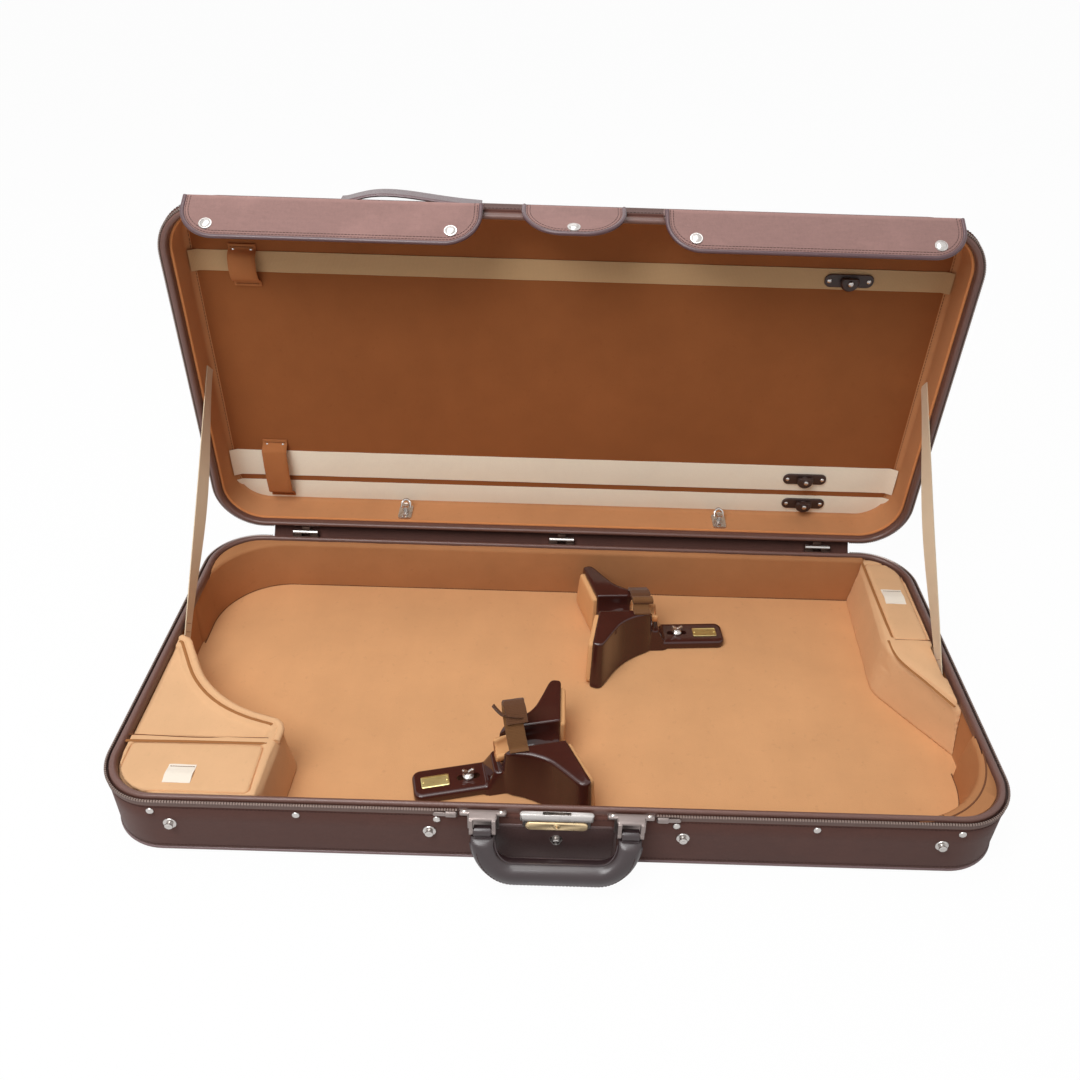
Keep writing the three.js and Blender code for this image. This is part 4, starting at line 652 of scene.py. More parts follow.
class Piece:
    """One Blender object of the case, in metres at rest."""

    def __init__(self, name: str, mesh: bpy.types.Mesh) -> None:
        """Link a mesh as an object."""
        self.object = bpy.data.objects.new(name, mesh)
        bpy.context.scene.collection.objects.link(self.object)

    @classmethod
    def of_node(cls, node: str, name: str) -> "Piece":
        """Copy a frame node into a new piece that stands for it.

        Args:
            node: The node.
            name: The new piece's name.

        Returns:
            The piece.
        """
        made = cls(name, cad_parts[node].data.copy())
        shape = bmesh.new()
        shape.from_mesh(made.object.data)
        bmesh.ops.remove_doubles(shape, verts=shape.verts, dist=2e-6)
        bmesh.ops.dissolve_limit(shape, angle_limit=math.radians(0.6), verts=shape.verts, edges=shape.edges)
        shape.to_mesh(made.object.data)
        shape.free()
        made.stand_for(node)
        return made

    def settle(self) -> "Piece":
        """Apply every modifier."""
        graph = bpy.context.evaluated_depsgraph_get()
        mesh = bpy.data.meshes.new_from_object(self.object.evaluated_get(graph))
        self.object.modifiers.clear()
        self.object.data = mesh
        return self

    def modify(self, kind: str, **settings: object) -> "Piece":
        """Add one modifier and apply it.

        Args:
            kind: The modifier's type.
            settings: Its properties.

        Returns:
            The piece.
        """
        made = self.object.modifiers.new(kind.lower(), kind)
        for key, value in settings.items():
            setattr(made, key, value)
        return self.settle()

    def bevel(self, width: float, segments: int = 2, angle: float = 28) -> "Piece":
        """Round the sharp edges."""
        return self.modify("BEVEL", width=width * MM, segments=segments, limit_method="ANGLE",
                           angle_limit=math.radians(angle), use_clamp_overlap=True)

    def knead(self, voxel: float, rounds: int, factor: float = 0.5) -> "Piece":
        """Remesh evenly and soften every edge."""
        self.modify("REMESH", mode="VOXEL", voxel_size=voxel * MM, use_smooth_shade=True)
        return self.modify("SMOOTH", factor=factor, iterations=rounds)

    def subtract(self, tool: "Piece") -> "Piece":
        """Cut another piece out of this one, and drop that piece.

        Args:
            tool: The piece that is cut out.

        Returns:
            The piece.
        """
        self.modify("BOOLEAN", operation="DIFFERENCE", solver="EXACT", object=tool.object)
        bpy.data.objects.remove(tool.object)
        return self

    def join(self, other: "Piece") -> "Piece":
        """Add another piece's faces, and drop that piece.

        Args:
            other: The piece that is added.

        Returns:
            The piece.
        """
        shape = bmesh.new()
        shape.from_mesh(self.object.data)
        shape.from_mesh(other.object.data)
        shape.to_mesh(self.object.data)
        shape.free()
        bpy.data.objects.remove(other.object)
        return self

    def plump(self, cap: float, held: Callable[[Vector], float], pressure: float = 4) -> "Piece":
        """Swell the cloth over its filling by simulation, held back to a cap.

        Args:
            cap: The furthest that a point may move, in millimetres.
            held: How free a point is, from 0 to 1.
            pressure: Pressure inside.

        Returns:
            The piece.
        """
        rest = np.array([v.co[:] for v in self.object.data.vertices])
        cloth = self.object.modifiers.new("cloth", "CLOTH")
        cloth.settings.use_pressure = True
        cloth.settings.uniform_pressure_force = pressure
        cloth.settings.effector_weights.gravity = 0
        cloth.settings.quality = 4
        cloth.collision_settings.use_collision = False
        cloth.point_cache.frame_end = 20
        scene = bpy.context.scene
        for step in range(1, 21):
            scene.frame_set(step)
        self.settle()
        scene.frame_set(1)
        mesh = self.object.data
        moved = np.array([v.co[:] for v in mesh.vertices]) - rest
        size = np.linalg.norm(moved, axis=1, keepdims=True)
        free = np.array([[held(Vector(point) / MM)] for point in rest])
        moved *= np.minimum(1, cap * MM / np.maximum(size, 1e-9)) * free
        mesh.vertices.foreach_set("co", (rest + moved).astype(np.float32).ravel())
        mesh.update()
        return self

    def ruffle(self, depth: float, scale: float, seed: float = 0) -> "Piece":
        """Move the surface in and out by a soft noise.

        Args:
            depth: Depth in millimetres.
            scale: Waves per metre.
            seed: Start of the noise.

        Returns:
            The piece.
        """
        mesh = self.object.data
        normals = [v.normal.copy() for v in mesh.vertices]
        for vertex, normal in zip(mesh.vertices, normals):
            vertex.co += normal * (noise.noise(vertex.co * scale + Vector((seed, seed, seed))) * depth * MM)
        mesh.update()
        return self

    def lay_cloth(self, place: Matrix = BASE) -> None:
        """Give the mesh cloth coordinates in metres, from the side that each face looks to.

        Args:
            place: The piece's own frame.
        """
        mesh = self.object.data
        back = place.to_3x3().inverted()
        layer = mesh.uv_layers.active or mesh.uv_layers.new(name="cloth")
        flat = np.zeros((len(mesh.loops), 2), np.float32)
        for face in mesh.polygons:
            normal = back @ face.normal
            axis = max(range(3), key=lambda k: abs(normal[k]))
            a, b = [(1, 2), (0, 2), (0, 1)][axis]
            for loop in face.loop_indices:
                point = back @ mesh.vertices[mesh.loops[loop].vertex_index].co
                flat[loop] = point[a], point[b]
        layer.data.foreach_set("uv", flat.ravel())

    def dress(self, finish: Finish, body: str | None, place: Matrix = BASE, sharp: float = 38) -> "Piece":
        """Shade, colour and hang the piece on its body.

        Args:
            finish: Its finish.
            body: The body that it rides on, or none.
            place: Its own frame, for the cloth's direction.
            sharp: Edges over this angle stay sharp.

        Returns:
            The piece.
        """
        mesh = self.object.data
        mesh.shade_smooth()
        mesh.set_sharp_from_angle(angle=math.radians(sharp))
        self.lay_cloth(place)
        mesh.materials.clear()
        mesh.materials.append(finish.material())
        if body:
            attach(self.object, body)
        log.info("%s rides on %s with %d faces", self.object.name, body or "two bodies", len(mesh.polygons))
        return self

    def height(self, x: float, y: float) -> float:
        """Height of the piece's top at a place."""
        hit, place, _, _ = self.object.ray_cast(Vector((x, y, 120)) * MM, Vector((0, 0, -1)))
        return place.z / MM if hit else 0

    def stand_for(self, *nodes: str) -> "Piece":
        """Hide the frame nodes that this piece stands for."""
        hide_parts(*nodes)
        return self


@dataclass
class Form:
    """Faces under construction, in millimetres of a local frame."""

    points: list[Vector] = field(default_factory=list)
    faces: list[list[int]] = field(default_factory=list)

    def rings(self, rings: Sequence[Sequence[Vector]], around: bool = True,
              ends: tuple[bool, bool] = (False, False), closed: bool = False) -> "Form":
        """Join rings of equally many points.

        Args:
            rings: The rings in order.
            around: Whether each ring returns to its start.
            ends: Whether the first and the last ring are filled.
            closed: Whether the last ring joins the first.

        Returns:
            The form.
        """
        start = len(self.points)
        count = len(rings[0])
        self.points += [Vector(p) for ring in rings for p in ring]
        total = len(rings)
        for ring in range(total if closed else total - 1):
            low = start + ring * count
            high = start + ((ring + 1) % total) * count
            for side in range(count if around else count - 1):
                after = (side + 1) % count
                self.faces.append([low + side, low + after, high + after, high + side])
        if ends[0]:
            self.faces.append([start + k for k in reversed(range(count))])
        if ends[1]:
            self.faces.append([start + (total - 1) * count + k for k in range(count)])
        return self

    def loft(self, levels: Sequence[tuple[float, Outline]], ends: tuple[bool, bool] = (True, True)) -> "Form":
        """Join flat outlines at rising heights."""
        return self.rings([raised(points, z) for z, points in levels], True, ends)

    def skin(self, rings: Sequence[Sequence[Vector]]) -> "Form":
        """Join rings into a closed body with both ends filled."""
        return self.rings(rings, True, (True, True))

    def lathe(self, profile: Sequence[tuple[float, float]], at: Sequence[float] = (0, 0, 0),
              direction: Sequence[float] = (0, 0, 1), sides: int = 28) -> "Form":
        """Turn a profile round an axis.

        Args:
            profile: Pairs of radius and height.
            at: The axis's foot.
            direction: The axis.
            sides: Sides round it.

        Returns:
            The form.
        """
        turn = Vector((0, 0, 1)).rotation_difference(Vector(direction)).to_matrix()
        rings = []
        for radius, height in profile:
            ring = [Vector((max(radius, 0.01) * math.cos(a), max(radius, 0.01) * math.sin(a), height))
                    for a in (2 * math.pi * k / sides for k in range(sides))]
            rings.append([turn @ p + Vector(at) for p in ring])
        return self.skin(rings)

    def tube(self, path: Sequence[Vector], wide: float, high: float | None = None, closed: bool = False,
             sides: int = 8, up: Sequence[float] = (0, 0, 1)) -> "Form":
        """Sweep a round or oval section along a path.

        Args:
            path: The path.
            wide: Half width across the path.
            high: Half height along the given up; the half width where it is left out.
            closed: Whether the path returns to its start.
            sides: Sides of the section.
            up: Up for the section.

        Returns:
            The form.
        """
        height = wide if high is None else high
        rings = []
        count = len(path)
        for index in range(count):
            before = path[index - 1] if closed or index else path[0]
            after = path[(index + 1) % count] if closed or index + 1 < count else path[-1]
            along = (Vector(after) - Vector(before)).normalized()
            across = along.cross(Vector(up)).normalized()
            top = across.cross(along)
            ring = []
            for k in range(sides):
                angle = 2 * math.pi * k / sides
                out = across * (wide * math.cos(angle))
                ring.append(Vector(path[index]) + out + top * (height * math.sin(angle)))
            rings.append(ring)
        return self.rings(rings, True, (not closed, not closed), closed)

    def band(self, line: Sequence[Vector], across: Vector, width: float, thickness: float,
             steps: int = 6) -> "Form":
        """Flat strap along a line, with rounded long edges.

        Args:
            line: Its middle line.
            across: Direction of its width.
            width: Its width.
            thickness: Its thickness.
            steps: Steps over its width.

        Returns:
            The form.
        """
        rings = []
        last = len(line) - 1
        for index, point in enumerate(line):
            along = (line[min(last, index + 1)] - line[max(0, index - 1)]).normalized()
            up = across.cross(along).normalized() * (thickness / 2)
            top = [point + across * (width * (k / steps - 0.5)) for k in range(steps + 1)]
            edge = across * (thickness * 0.3)
            rings.append([
                *[p + up for p in top], top[-1] + edge, *[p - up for p in reversed(top)], top[0] - edge])
        return self.skin(rings)

    def block(self, low: Sequence[float], high: Sequence[float]) -> "Form":
        """Box between two corners."""
        ring = [(low[0], low[1]), (high[0], low[1]), (high[0], high[1]), (low[0], high[1])]
        return self.loft([(z, [Vector(p) for p in ring]) for z in (low[2], high[2])])

    def stitches(self, path: Sequence[Vector], stitch: Stitch, closed: bool = False) -> "Form":
        """Row of thread stitches along a path.

        Args:
            path: The row.
            stitch: Its stitch.
            closed: Whether the row returns to its start.

        Returns:
            The form.
        """
        pitch, length, radius = stitch.value
        for middle, along in every(path, pitch, closed):
            half = along * (length / 2)
            up = (0, 0, 1) if abs(along.z) < 0.9 else (0, 1, 0)
            self.tube([middle - half, middle, middle + half], radius, closed=False, sides=5, up=up)
        return self

    def piece(self, name: str, place: Matrix = BASE) -> Piece:
        """Make the piece from the form.

        Args:
            name: The piece's name.
            place: The form's frame.

        Returns:
            The piece.
        """
        mesh = bpy.data.meshes.new(name)
        mesh.from_pydata([(place @ p) * MM for p in self.points], [], self.faces)
        shape = bmesh.new()
        shape.from_mesh(mesh)
        bmesh.ops.recalc_face_normals(shape, faces=shape.faces)
        shape.to_mesh(mesh)
        shape.free()
        return Piece(name, mesh)


def sew(name: str, path: Sequence[Vector], stitch: Stitch, body: str, finish: Finish = DARK_THREAD,
        place: Matrix = BASE, closed: bool = False) -> None:
    """Sew one row of stitches."""
    Form().stitches(path, stitch, closed).piece(name, place).dress(finish, body, place)


def turned(name: str, shape: Turned, places: Sequence[Sequence[float]], direction: Sequence[float], body: str,
           place: Matrix = BASE, sides: int = 20) -> Piece:
    """Turn one bright part at each place.

    Args:
        name: The piece's name.
        shape: The part's profile.
        places: The parts' feet.
        direction: Where they point.
        body: The body that they ride on.
        place: The frame of the places.
        sides: Sides round each part.

    Returns:
        The piece.
    """
    form = Form()
    for at in places:
        form.lathe(shape.value, at, direction, sides)
    return form.piece(name, place).dress(CHROME, body, place)


def arc_up(top: float, radius: float, steps: int = 5, draft: float = 0) -> list[tuple[float, float]]:
    """Heights and insets of a rounded top edge."""
    angles = [math.pi / 2 * k / steps for k in range(steps + 1)]
    return [(top - radius + radius * math.sin(a), radius * (1 - math.cos(a)) + draft) for a in angles]


def arc_down(bottom: float, radius: float, steps: int = 5) -> list[tuple[float, float]]:
    """Heights and insets of a rounded bottom edge."""
    return [(-z, inset) for z, inset in reversed(arc_up(-bottom, radius, steps))]


@dataclass
class RimRing:
    """Padded bead round the rim of the base or the lid."""

    name: str
    body: str
    place: Matrix
    facing: float
    level: float
    nodes: tuple[str, ...]
    outer: tuple[float, float, float] = (790, 374.6, 50)
    inner: tuple[float, float, float] = (775.4, 363.6, 44.4)
    welt: tuple[float, float, float] = (776.6, 364.8, 44.9)
    welt_drop: float = 5.6
    height: float = 8

    def build(self) -> None:
        """Make the bead and the welt along its inner edge."""
        outer, inner = rounded(*self.outer, step=4), rounded(*self.inner, step=4)
        half = [(0, 0), (0, 0.35), (0.02, 0.62), (0.09, 0.84), (0.24, 0.97)]
        rings = []
        for share, rise in [*half, (0.5, 1.02), *[(1 - share, rise) for share, rise in reversed(half)]]:
            z = self.level - self.facing * self.height * (1 - rise)
            rings.append(raised([a.lerp(b, share) for a, b in zip(outer, inner)], z))
        bead = Form().rings(rings, True, (False, False), True).piece(f"{self.name}_bead", self.place)
        bead.ruffle(0.25, 45).dress(RIM_VINYL, self.body, self.place).stand_for(*self.nodes)
        seam = raised(rounded(*self.welt), self.level - self.facing * self.welt_drop)
        Form().tube(seam, 0.7, closed=True, sides=6).piece(f"{self.name}_bead_welt", self.place).dress(
            DARK_THREAD, self.body, self.place)


@dataclass
class ZipHalf:
    """One side of a zip half: its tape and its teeth."""

    name: str
    body: str
    place: Matrix
    side: int
    low: float
    facing: float
    inset: float
    nodes: tuple[str, ...] = ()
    front_x: float = 84
    back_x: float = 335
    tape: float = 5
    pitch: float = 2.4
    tooth: tuple[tuple[float, float], ...] = (
        (-1.1, -0.5), (1.1, -0.5), (1.2, 0.5), (0.6, 1.2), (-0.6, 1.2), (-1.2, 0.5))

    def path(self, inset: float, z: float) -> list[Vector]:
        """The zip's line, from the front to the back.

        Args:
            inset: How far it lies inside the case's plan.
            z: Its height.

        Returns:
            The points.
        """
        corner = CASE_CORNER - inset
        x, y = CASE_LENGTH / 2 - inset - corner, CASE_DEPTH / 2 - inset - corner
        quarter = [math.pi / 2 * k / 16 for k in range(17)]
        front = [(x + corner * math.sin(a), -y - corner * math.cos(a)) for a in quarter]
        back = [(x + corner * math.cos(a), y + corner * math.sin(a)) for a in quarter]
        line = [(self.front_x, -y - corner), *front, *back, (self.back_x, y + corner)]
        return [Vector((self.side * a, b, z)) for a, b in line]

    def build(self) -> None:
        """Make the tape as a thin upright band, and the teeth at its free edge."""
        top = self.low + self.facing * self.tape
        section = ((0.9, self.low), (0.7, top), (-0.5, top), (-0.7, self.low))
        rings = list(zip(*[self.path(self.inset + step, z) for step, z in section]))
        tape = Form().skin(rings).piece(f"{self.name}_tape", self.place)
        tape.dress(ZIP_TAPE, self.body, self.place)
        if self.nodes:
            tape.stand_for(*self.nodes)
        teeth = Form()
        up = Vector((0, 0, self.facing))
        for middle, along in every(self.path(self.inset + 0.1, top), self.pitch):
            across = along.cross(up)
            ring = [middle + across * reach + up * rise for reach, rise in self.tooth]
            half = along * (self.pitch * 0.3)
            teeth.skin([[p - half for p in ring], [p + half for p in ring]])
        teeth.piece(f"{self.name}_teeth", self.place).dress(ZIP_TEETH, self.body, self.place)


@dataclass
class BaseShell:
    """Canvas base with its piping, nails and patch."""

    top: float = 61
    bottom_edge: float = 6
    piping_z: float = 4.2
    nails: tuple[float, ...] = (102, 222, 346)
    nail_z: float = 53.5
    patch: tuple[float, float, float, float] = (-55, 52, 4, 50)

    def vinyl_patch(self) -> None:
        """Make the smooth patch behind the handle, and sew it down."""
        left, right, low, high = self.patch
        middle = ((left + right) / 2, (low + high) / 2)
        turn = Matrix.Translation((0, FRONT_Y, 0)) @ Matrix.Rotation(math.pi / 2, 4, "X")
        sizes = [(0, 0), (0.5, 0.2), (0.9, 0.9), (1.1, 3)]
        face = Form().loft([
            (z, rounded(right - left - 2 * i, high - low - 2 * i, 6 - i, middle)) for z, i in sizes])
        face.piece("front_patch", turn).dress(PATCH_VINYL, "base", turn, 60)
        row = raised(rounded(right - left - 6, high - low - 6, 4, middle), 1.0)
        sew("front_patch_stitches", row, Stitch.PATCH, "base", place=turn, closed=True)

    def build(self) -> None:
        """Make the shell and what is fixed to its front."""
        sides = ((20, 0), (40, 0), (self.top - 1, 0), (self.top, 1), (self.top, 5), (7, 6))
        levels = [(z, plan(inset)) for z, inset in (*arc_down(0, self.bottom_edge), *sides)]
        shell = Form().loft(levels).piece("base_canvas")
        # The shell's canvas carries painted shade.
        shell.dress(SHADED_SHELL_CANVAS, "base", sharp=50).stand_for("base_shell")
        line = raised(plan(0.6), self.piping_z)
        Form().tube(line, 1.7, closed=True).piece("base_piping").dress(PIPING, "base")
        for name, z in (("piping", 2 * self.piping_z), ("edge", self.top - 3)):
            sew(f"base_{name}_stitches", raised(plan(-0.1), z), Stitch.EDGE, "base", closed=True)
        nails = [(side * x, FRONT_Y, self.nail_z) for x in self.nails for side in (-1, 1)]
        turned("base_dome_nails", Turned.NAIL, nails, OUTWARD, "base")
        self.vinyl_patch()


@dataclass
class WallPadding:
    """Padded velvet walls of the base, and the velvet floor."""

    floor: float = 9
    top: float = 66
    under_rim: float = 60.7
    edge: float = 4
    lean: float = 3
    bulge: float = 1.1
    under_bead: tuple[float, float, float] = (387.1, 181.4, 44)
    bare_wall: tuple[float, float, float] = (391, 183, 46)
    rear_line: tuple[tuple[float, ...], ...] = ((-386, 60), (-386, 65), (-386, 172, 75), (352, 172),
        (353, 172))
    front_line: tuple[tuple[float, ...], ...] = (
        (381, -80), (381, -84), (381, -181.3, 86), (290, -181.3), (288, -181.3))
    ridge_line: tuple[tuple[float, ...], ...] = ((381, -92), (381, -181.3, 86), (302, -181.3))

    def reach(self, point: Vector, normal: Vector, wall: tuple[float, float, float]) -> float:
        """Distance along a direction to a rounded rectangle.

        Args:
            point: Start.
            normal: Direction.
            wall: Half sizes of the rectangle and its corner radius.

        Returns:
            The distance, 0 where the start is outside.
        """
        far = 0.0
        for step in range(1, 400):
            probe = point + normal * (step * 0.25)
            x, y, corner = abs(probe.x) - wall[0] + wall[2], abs(probe.y) - wall[1] + wall[2], wall[2]
            if math.hypot(max(x, 0), max(y, 0)) + min(max(x, y), 0) - corner > 0:
                break
            far = step * 0.25
        return far

    def section(self, point: Vector, normal: Vector, tuck: float) -> list[Vector]:
        """Section of the padding at one station.

        Args:
            point: Foot of its face.
            normal: Direction toward the case's wall.
            tuck: How far the face is drawn back there.

        Returns:
            The section's points from the foot to the back.
        """
        inside = self.reach(point, normal, self.under_bead)
        behind = self.reach(point, normal, self.bare_wall)
        points = []
        face = self.top - self.edge - self.floor
        for k in range(9):
            share = k / 8
            bulge = self.bulge * math.sin(math.pi * share)
            points.append((self.lean * share - bulge + tuck, self.floor + face * share))
        for z, inset in arc_up(self.top, self.edge, 6)[1:]:
            points.append((self.lean + inset + tuck, z))
        points.append((max(inside, self.lean + self.edge + tuck), self.top))
        section = []
        for reach, z in points:
            if z > self.under_rim and reach > inside:
                reach, z = min(reach, behind), self.under_rim
            section.append(Vector((*(point + normal * min(reach, max(behind, 0.5))), z)))
        back = point + normal * max(behind, 0.5)
        return [*section, Vector((*back, self.under_rim - 1)), Vector((*back, self.floor))]

    def pad(self, name: str, corners: Sequence[Sequence[float]], seed: float) -> list[Vector]:
        """Make one padded stretch along its foot line.

        Args:
            name: The piece's name.
            corners: Corners of the foot line, in order, with radii.
            seed: Start of its small waves.

        Returns:
            The foot line.
        """
        stations = [place for place, _ in every(fillet(corners, 3)[1:-1], 3)]
        rings = []
        for index, point in enumerate(stations):
            before, after = stations[max(0, index - 1)], stations[min(len(stations) - 1, index + 1)]
            along = (after - before).normalized()
            normal = Vector((-along.y, along.x))
            ends = min(index, len(stations) - 1 - index) * 3
            tuck = 3 * (1 - min(1, ends / 6)) ** 2
            rings.append(self.section(point, normal, tuck))
        made = Form().skin(rings).piece(name)
        # The wall pads wear the darker copy of the velvet, with painted shade.
        made.ruffle(0.8, 14, seed).ruffle(0.25, 60, seed).dress(BASE_WALL_SHADED_VELVET, "base", sharp=60)
        return raised(stations, self.floor + 0.4)

    def build(self) -> None:
        """Make the bare walls, the pads, the seam at their foot and the floor."""
        low = self.floor
        levels = ((low - 0.5, 9.4), (low + 0.6, 8.8), (low + 3, 8.3), (40, 8.2), (self.under_rim, 8.1),
                  (self.under_rim, 6.4))
        bare = Form().loft([(z, plan(inset)) for z, inset in levels], (False, False)).piece(
            "wall_velvet_ring")
        # The bare walls wear the darker copy of the velvet, with painted shade.
        bare.dress(BASE_WALL_SHADED_VELVET, "base").stand_for("wall_lining")
        rear = self.pad("rear_wall_pad", self.rear_line, 2)
        front = self.pad("front_corner_pad", self.front_line, 7)
        ridge = [p + Vector((7, -7)) for p in fillet(self.ridge_line, 3)[2:-2]]
        Form().tube(raised(ridge, self.top + 0.1), 0.8, 0.6).piece("front_pad_ridge").dress(THREAD, "base")
        sew("rear_pad_seam", rear, Stitch.PAD, "base", THREAD)
        sew("front_pad_seam", front, Stitch.PAD, "base", THREAD)
        edge = ((8.4, low + 0.6), (9.6, low + 0.15), (12, low), (24, low))
        rings = [raised(plan(inset), z) for inset, z in edge]
        floor = Form().rings(rings, True, (False, True)).piece("floor_velvet_sheet")
        floor.dress(FLOOR_VELVET, "base", sharp=60).stand_for("floor_lining")


LEFT_BLOCK_EDGE = ((-254.1, -121), (-253, -96, 14), (-329, -75, 135), (-377, 14, 13), (-384, 14))
# Dividers and creases are drawn as dark tubes: painted shade along the folds.
LEFT_DIVIDERS = (
    (Crease.FINE, 66.3, ((-392, -116.8), (-330, -118.4), (-262, -116.8))),
    (Crease.SOFT, 66.3, ((-390, -124.2), (-330, -123.4), (-262, -123.0))))
RIGHT_CREASES = (
    (Crease.SOFT, 66.4, ((345.5, 172), (345.5, 110), (345.8, 44))),
    (Crease.FINE, 66.4, ((345, 41.4), (362, 41), (385, 41.4))),
    (Crease.SOFT, 66.0, ((341, 40), (344, 12), (362, -20), (380, -52))))


@dataclass
class PocketBlock:
    """Padded pocket block, its lid and its pull tab."""

    side: str
    node: str
    tab: tuple[float, float, float, float]
    creases: tuple[tuple[Crease, float, Sequence[Sequence[float]]], ...]
    roll: Sequence[Sequence[float]] = ()
    voxel: float = 1.6
    lid_voxel: float = 1.2
    swell: float = 1.2
    stiff: float = 12
    top: float = 64.5
    roll_z: float = 64.2
    roll_radius: float = 3.6
    tab_z: float = 66.9

    def freedom(self, point: Vector) -> float:
        """How freely the cloth swells at a point."""
        return max(0, min(1, (point.z - self.stiff) / 30)) * (1 if point.z < self.top else 0.3)

    def padding(self) -> Piece:
        """Make the padded block and its lid.

        Returns:
            The block.
        """
        block = Piece.of_node(self.node, f"{self.side}_block_padding").knead(self.voxel, 4)
        block.plump(self.swell, self.freedom).ruffle(0.5, 22, 4).dress(BLOCK_VELVET, "base", sharp=80)
        lid = Piece.of_node(f"{self.side}_pocket_lid", f"{self.side}_pocket_lid_velvet").knead(
            self.lid_voxel, 4)
        lid.ruffle(0.25, 40, 5).dress(BLOCK_VELVET, f"{self.side}_pocket_lid", sharp=80)
        return block

    def edges(self, block: Piece) -> None:
        """Draw the creases in as dark tubes, painted shade along the folds, and lay the roll along the edge.

        Args:
            block: The padded block; a crease of height 0 lies on it.
        """
        for index, (crease, height, points) in enumerate(self.creases):
            half, finish = crease.value
            fine = smooth_line([(*p, 0) for p in points], 10)
            line = [Vector((p.x, p.y, height or block.height(p.x, p.y) + 0.1)) for p in fine]
            Form().tube(line, half, 0.5).piece(f"{self.side}_block_fold_shade_{index}").dress(finish, "base")
        if self.roll:
            line = smooth_line([(*p, self.roll_z) for p in self.roll], 10)
            roll = Form().tube(line, self.roll_radius, self.roll_radius * 0.8, sides=14)
            roll.piece(f"{self.side}_block_roll_0").ruffle(0.3, 50, 6).dress(BLOCK_VELVET, "base")

    def pull_tab(self) -> None:
        """Make the cream tab, arched over the seam of the lid, and its stitches."""
        x, y, width, depth = self.tab
        body = f"{self.side}_pocket_lid"
        rings = []
        for k in range(9):
            share = k / 8
            rise = self.tab_z + 1.6 * math.sin(math.pi * min(1, share * 1.15)) ** 2
            front = y + depth * (share - 0.5)
            across = [Vector((x + width * (j / 6 - 0.5), front, rise + 0.25 * math.sin(j))) for j in range(7)]
            rings.append([*across, *[p - Vector((0, 0, 0.7)) for p in reversed(across)]])
        Form().skin(rings).piece(f"{self.side}_pull_tab").dress(TAB_CREAM, body, sharp=50)
        hem = [Vector((x + end * (width / 2 - 1.5), y + depth * 0.36, self.tab_z + 0.7)) for end in (-1, 1)]
        sew(f"{self.side}_tab_stitches", hem, Stitch.TAPE, body, THREAD)

    def build(self) -> None:
        """Make the block, the lid, the seams and the tab."""
        self.edges(self.padding())
        self.pull_tab()


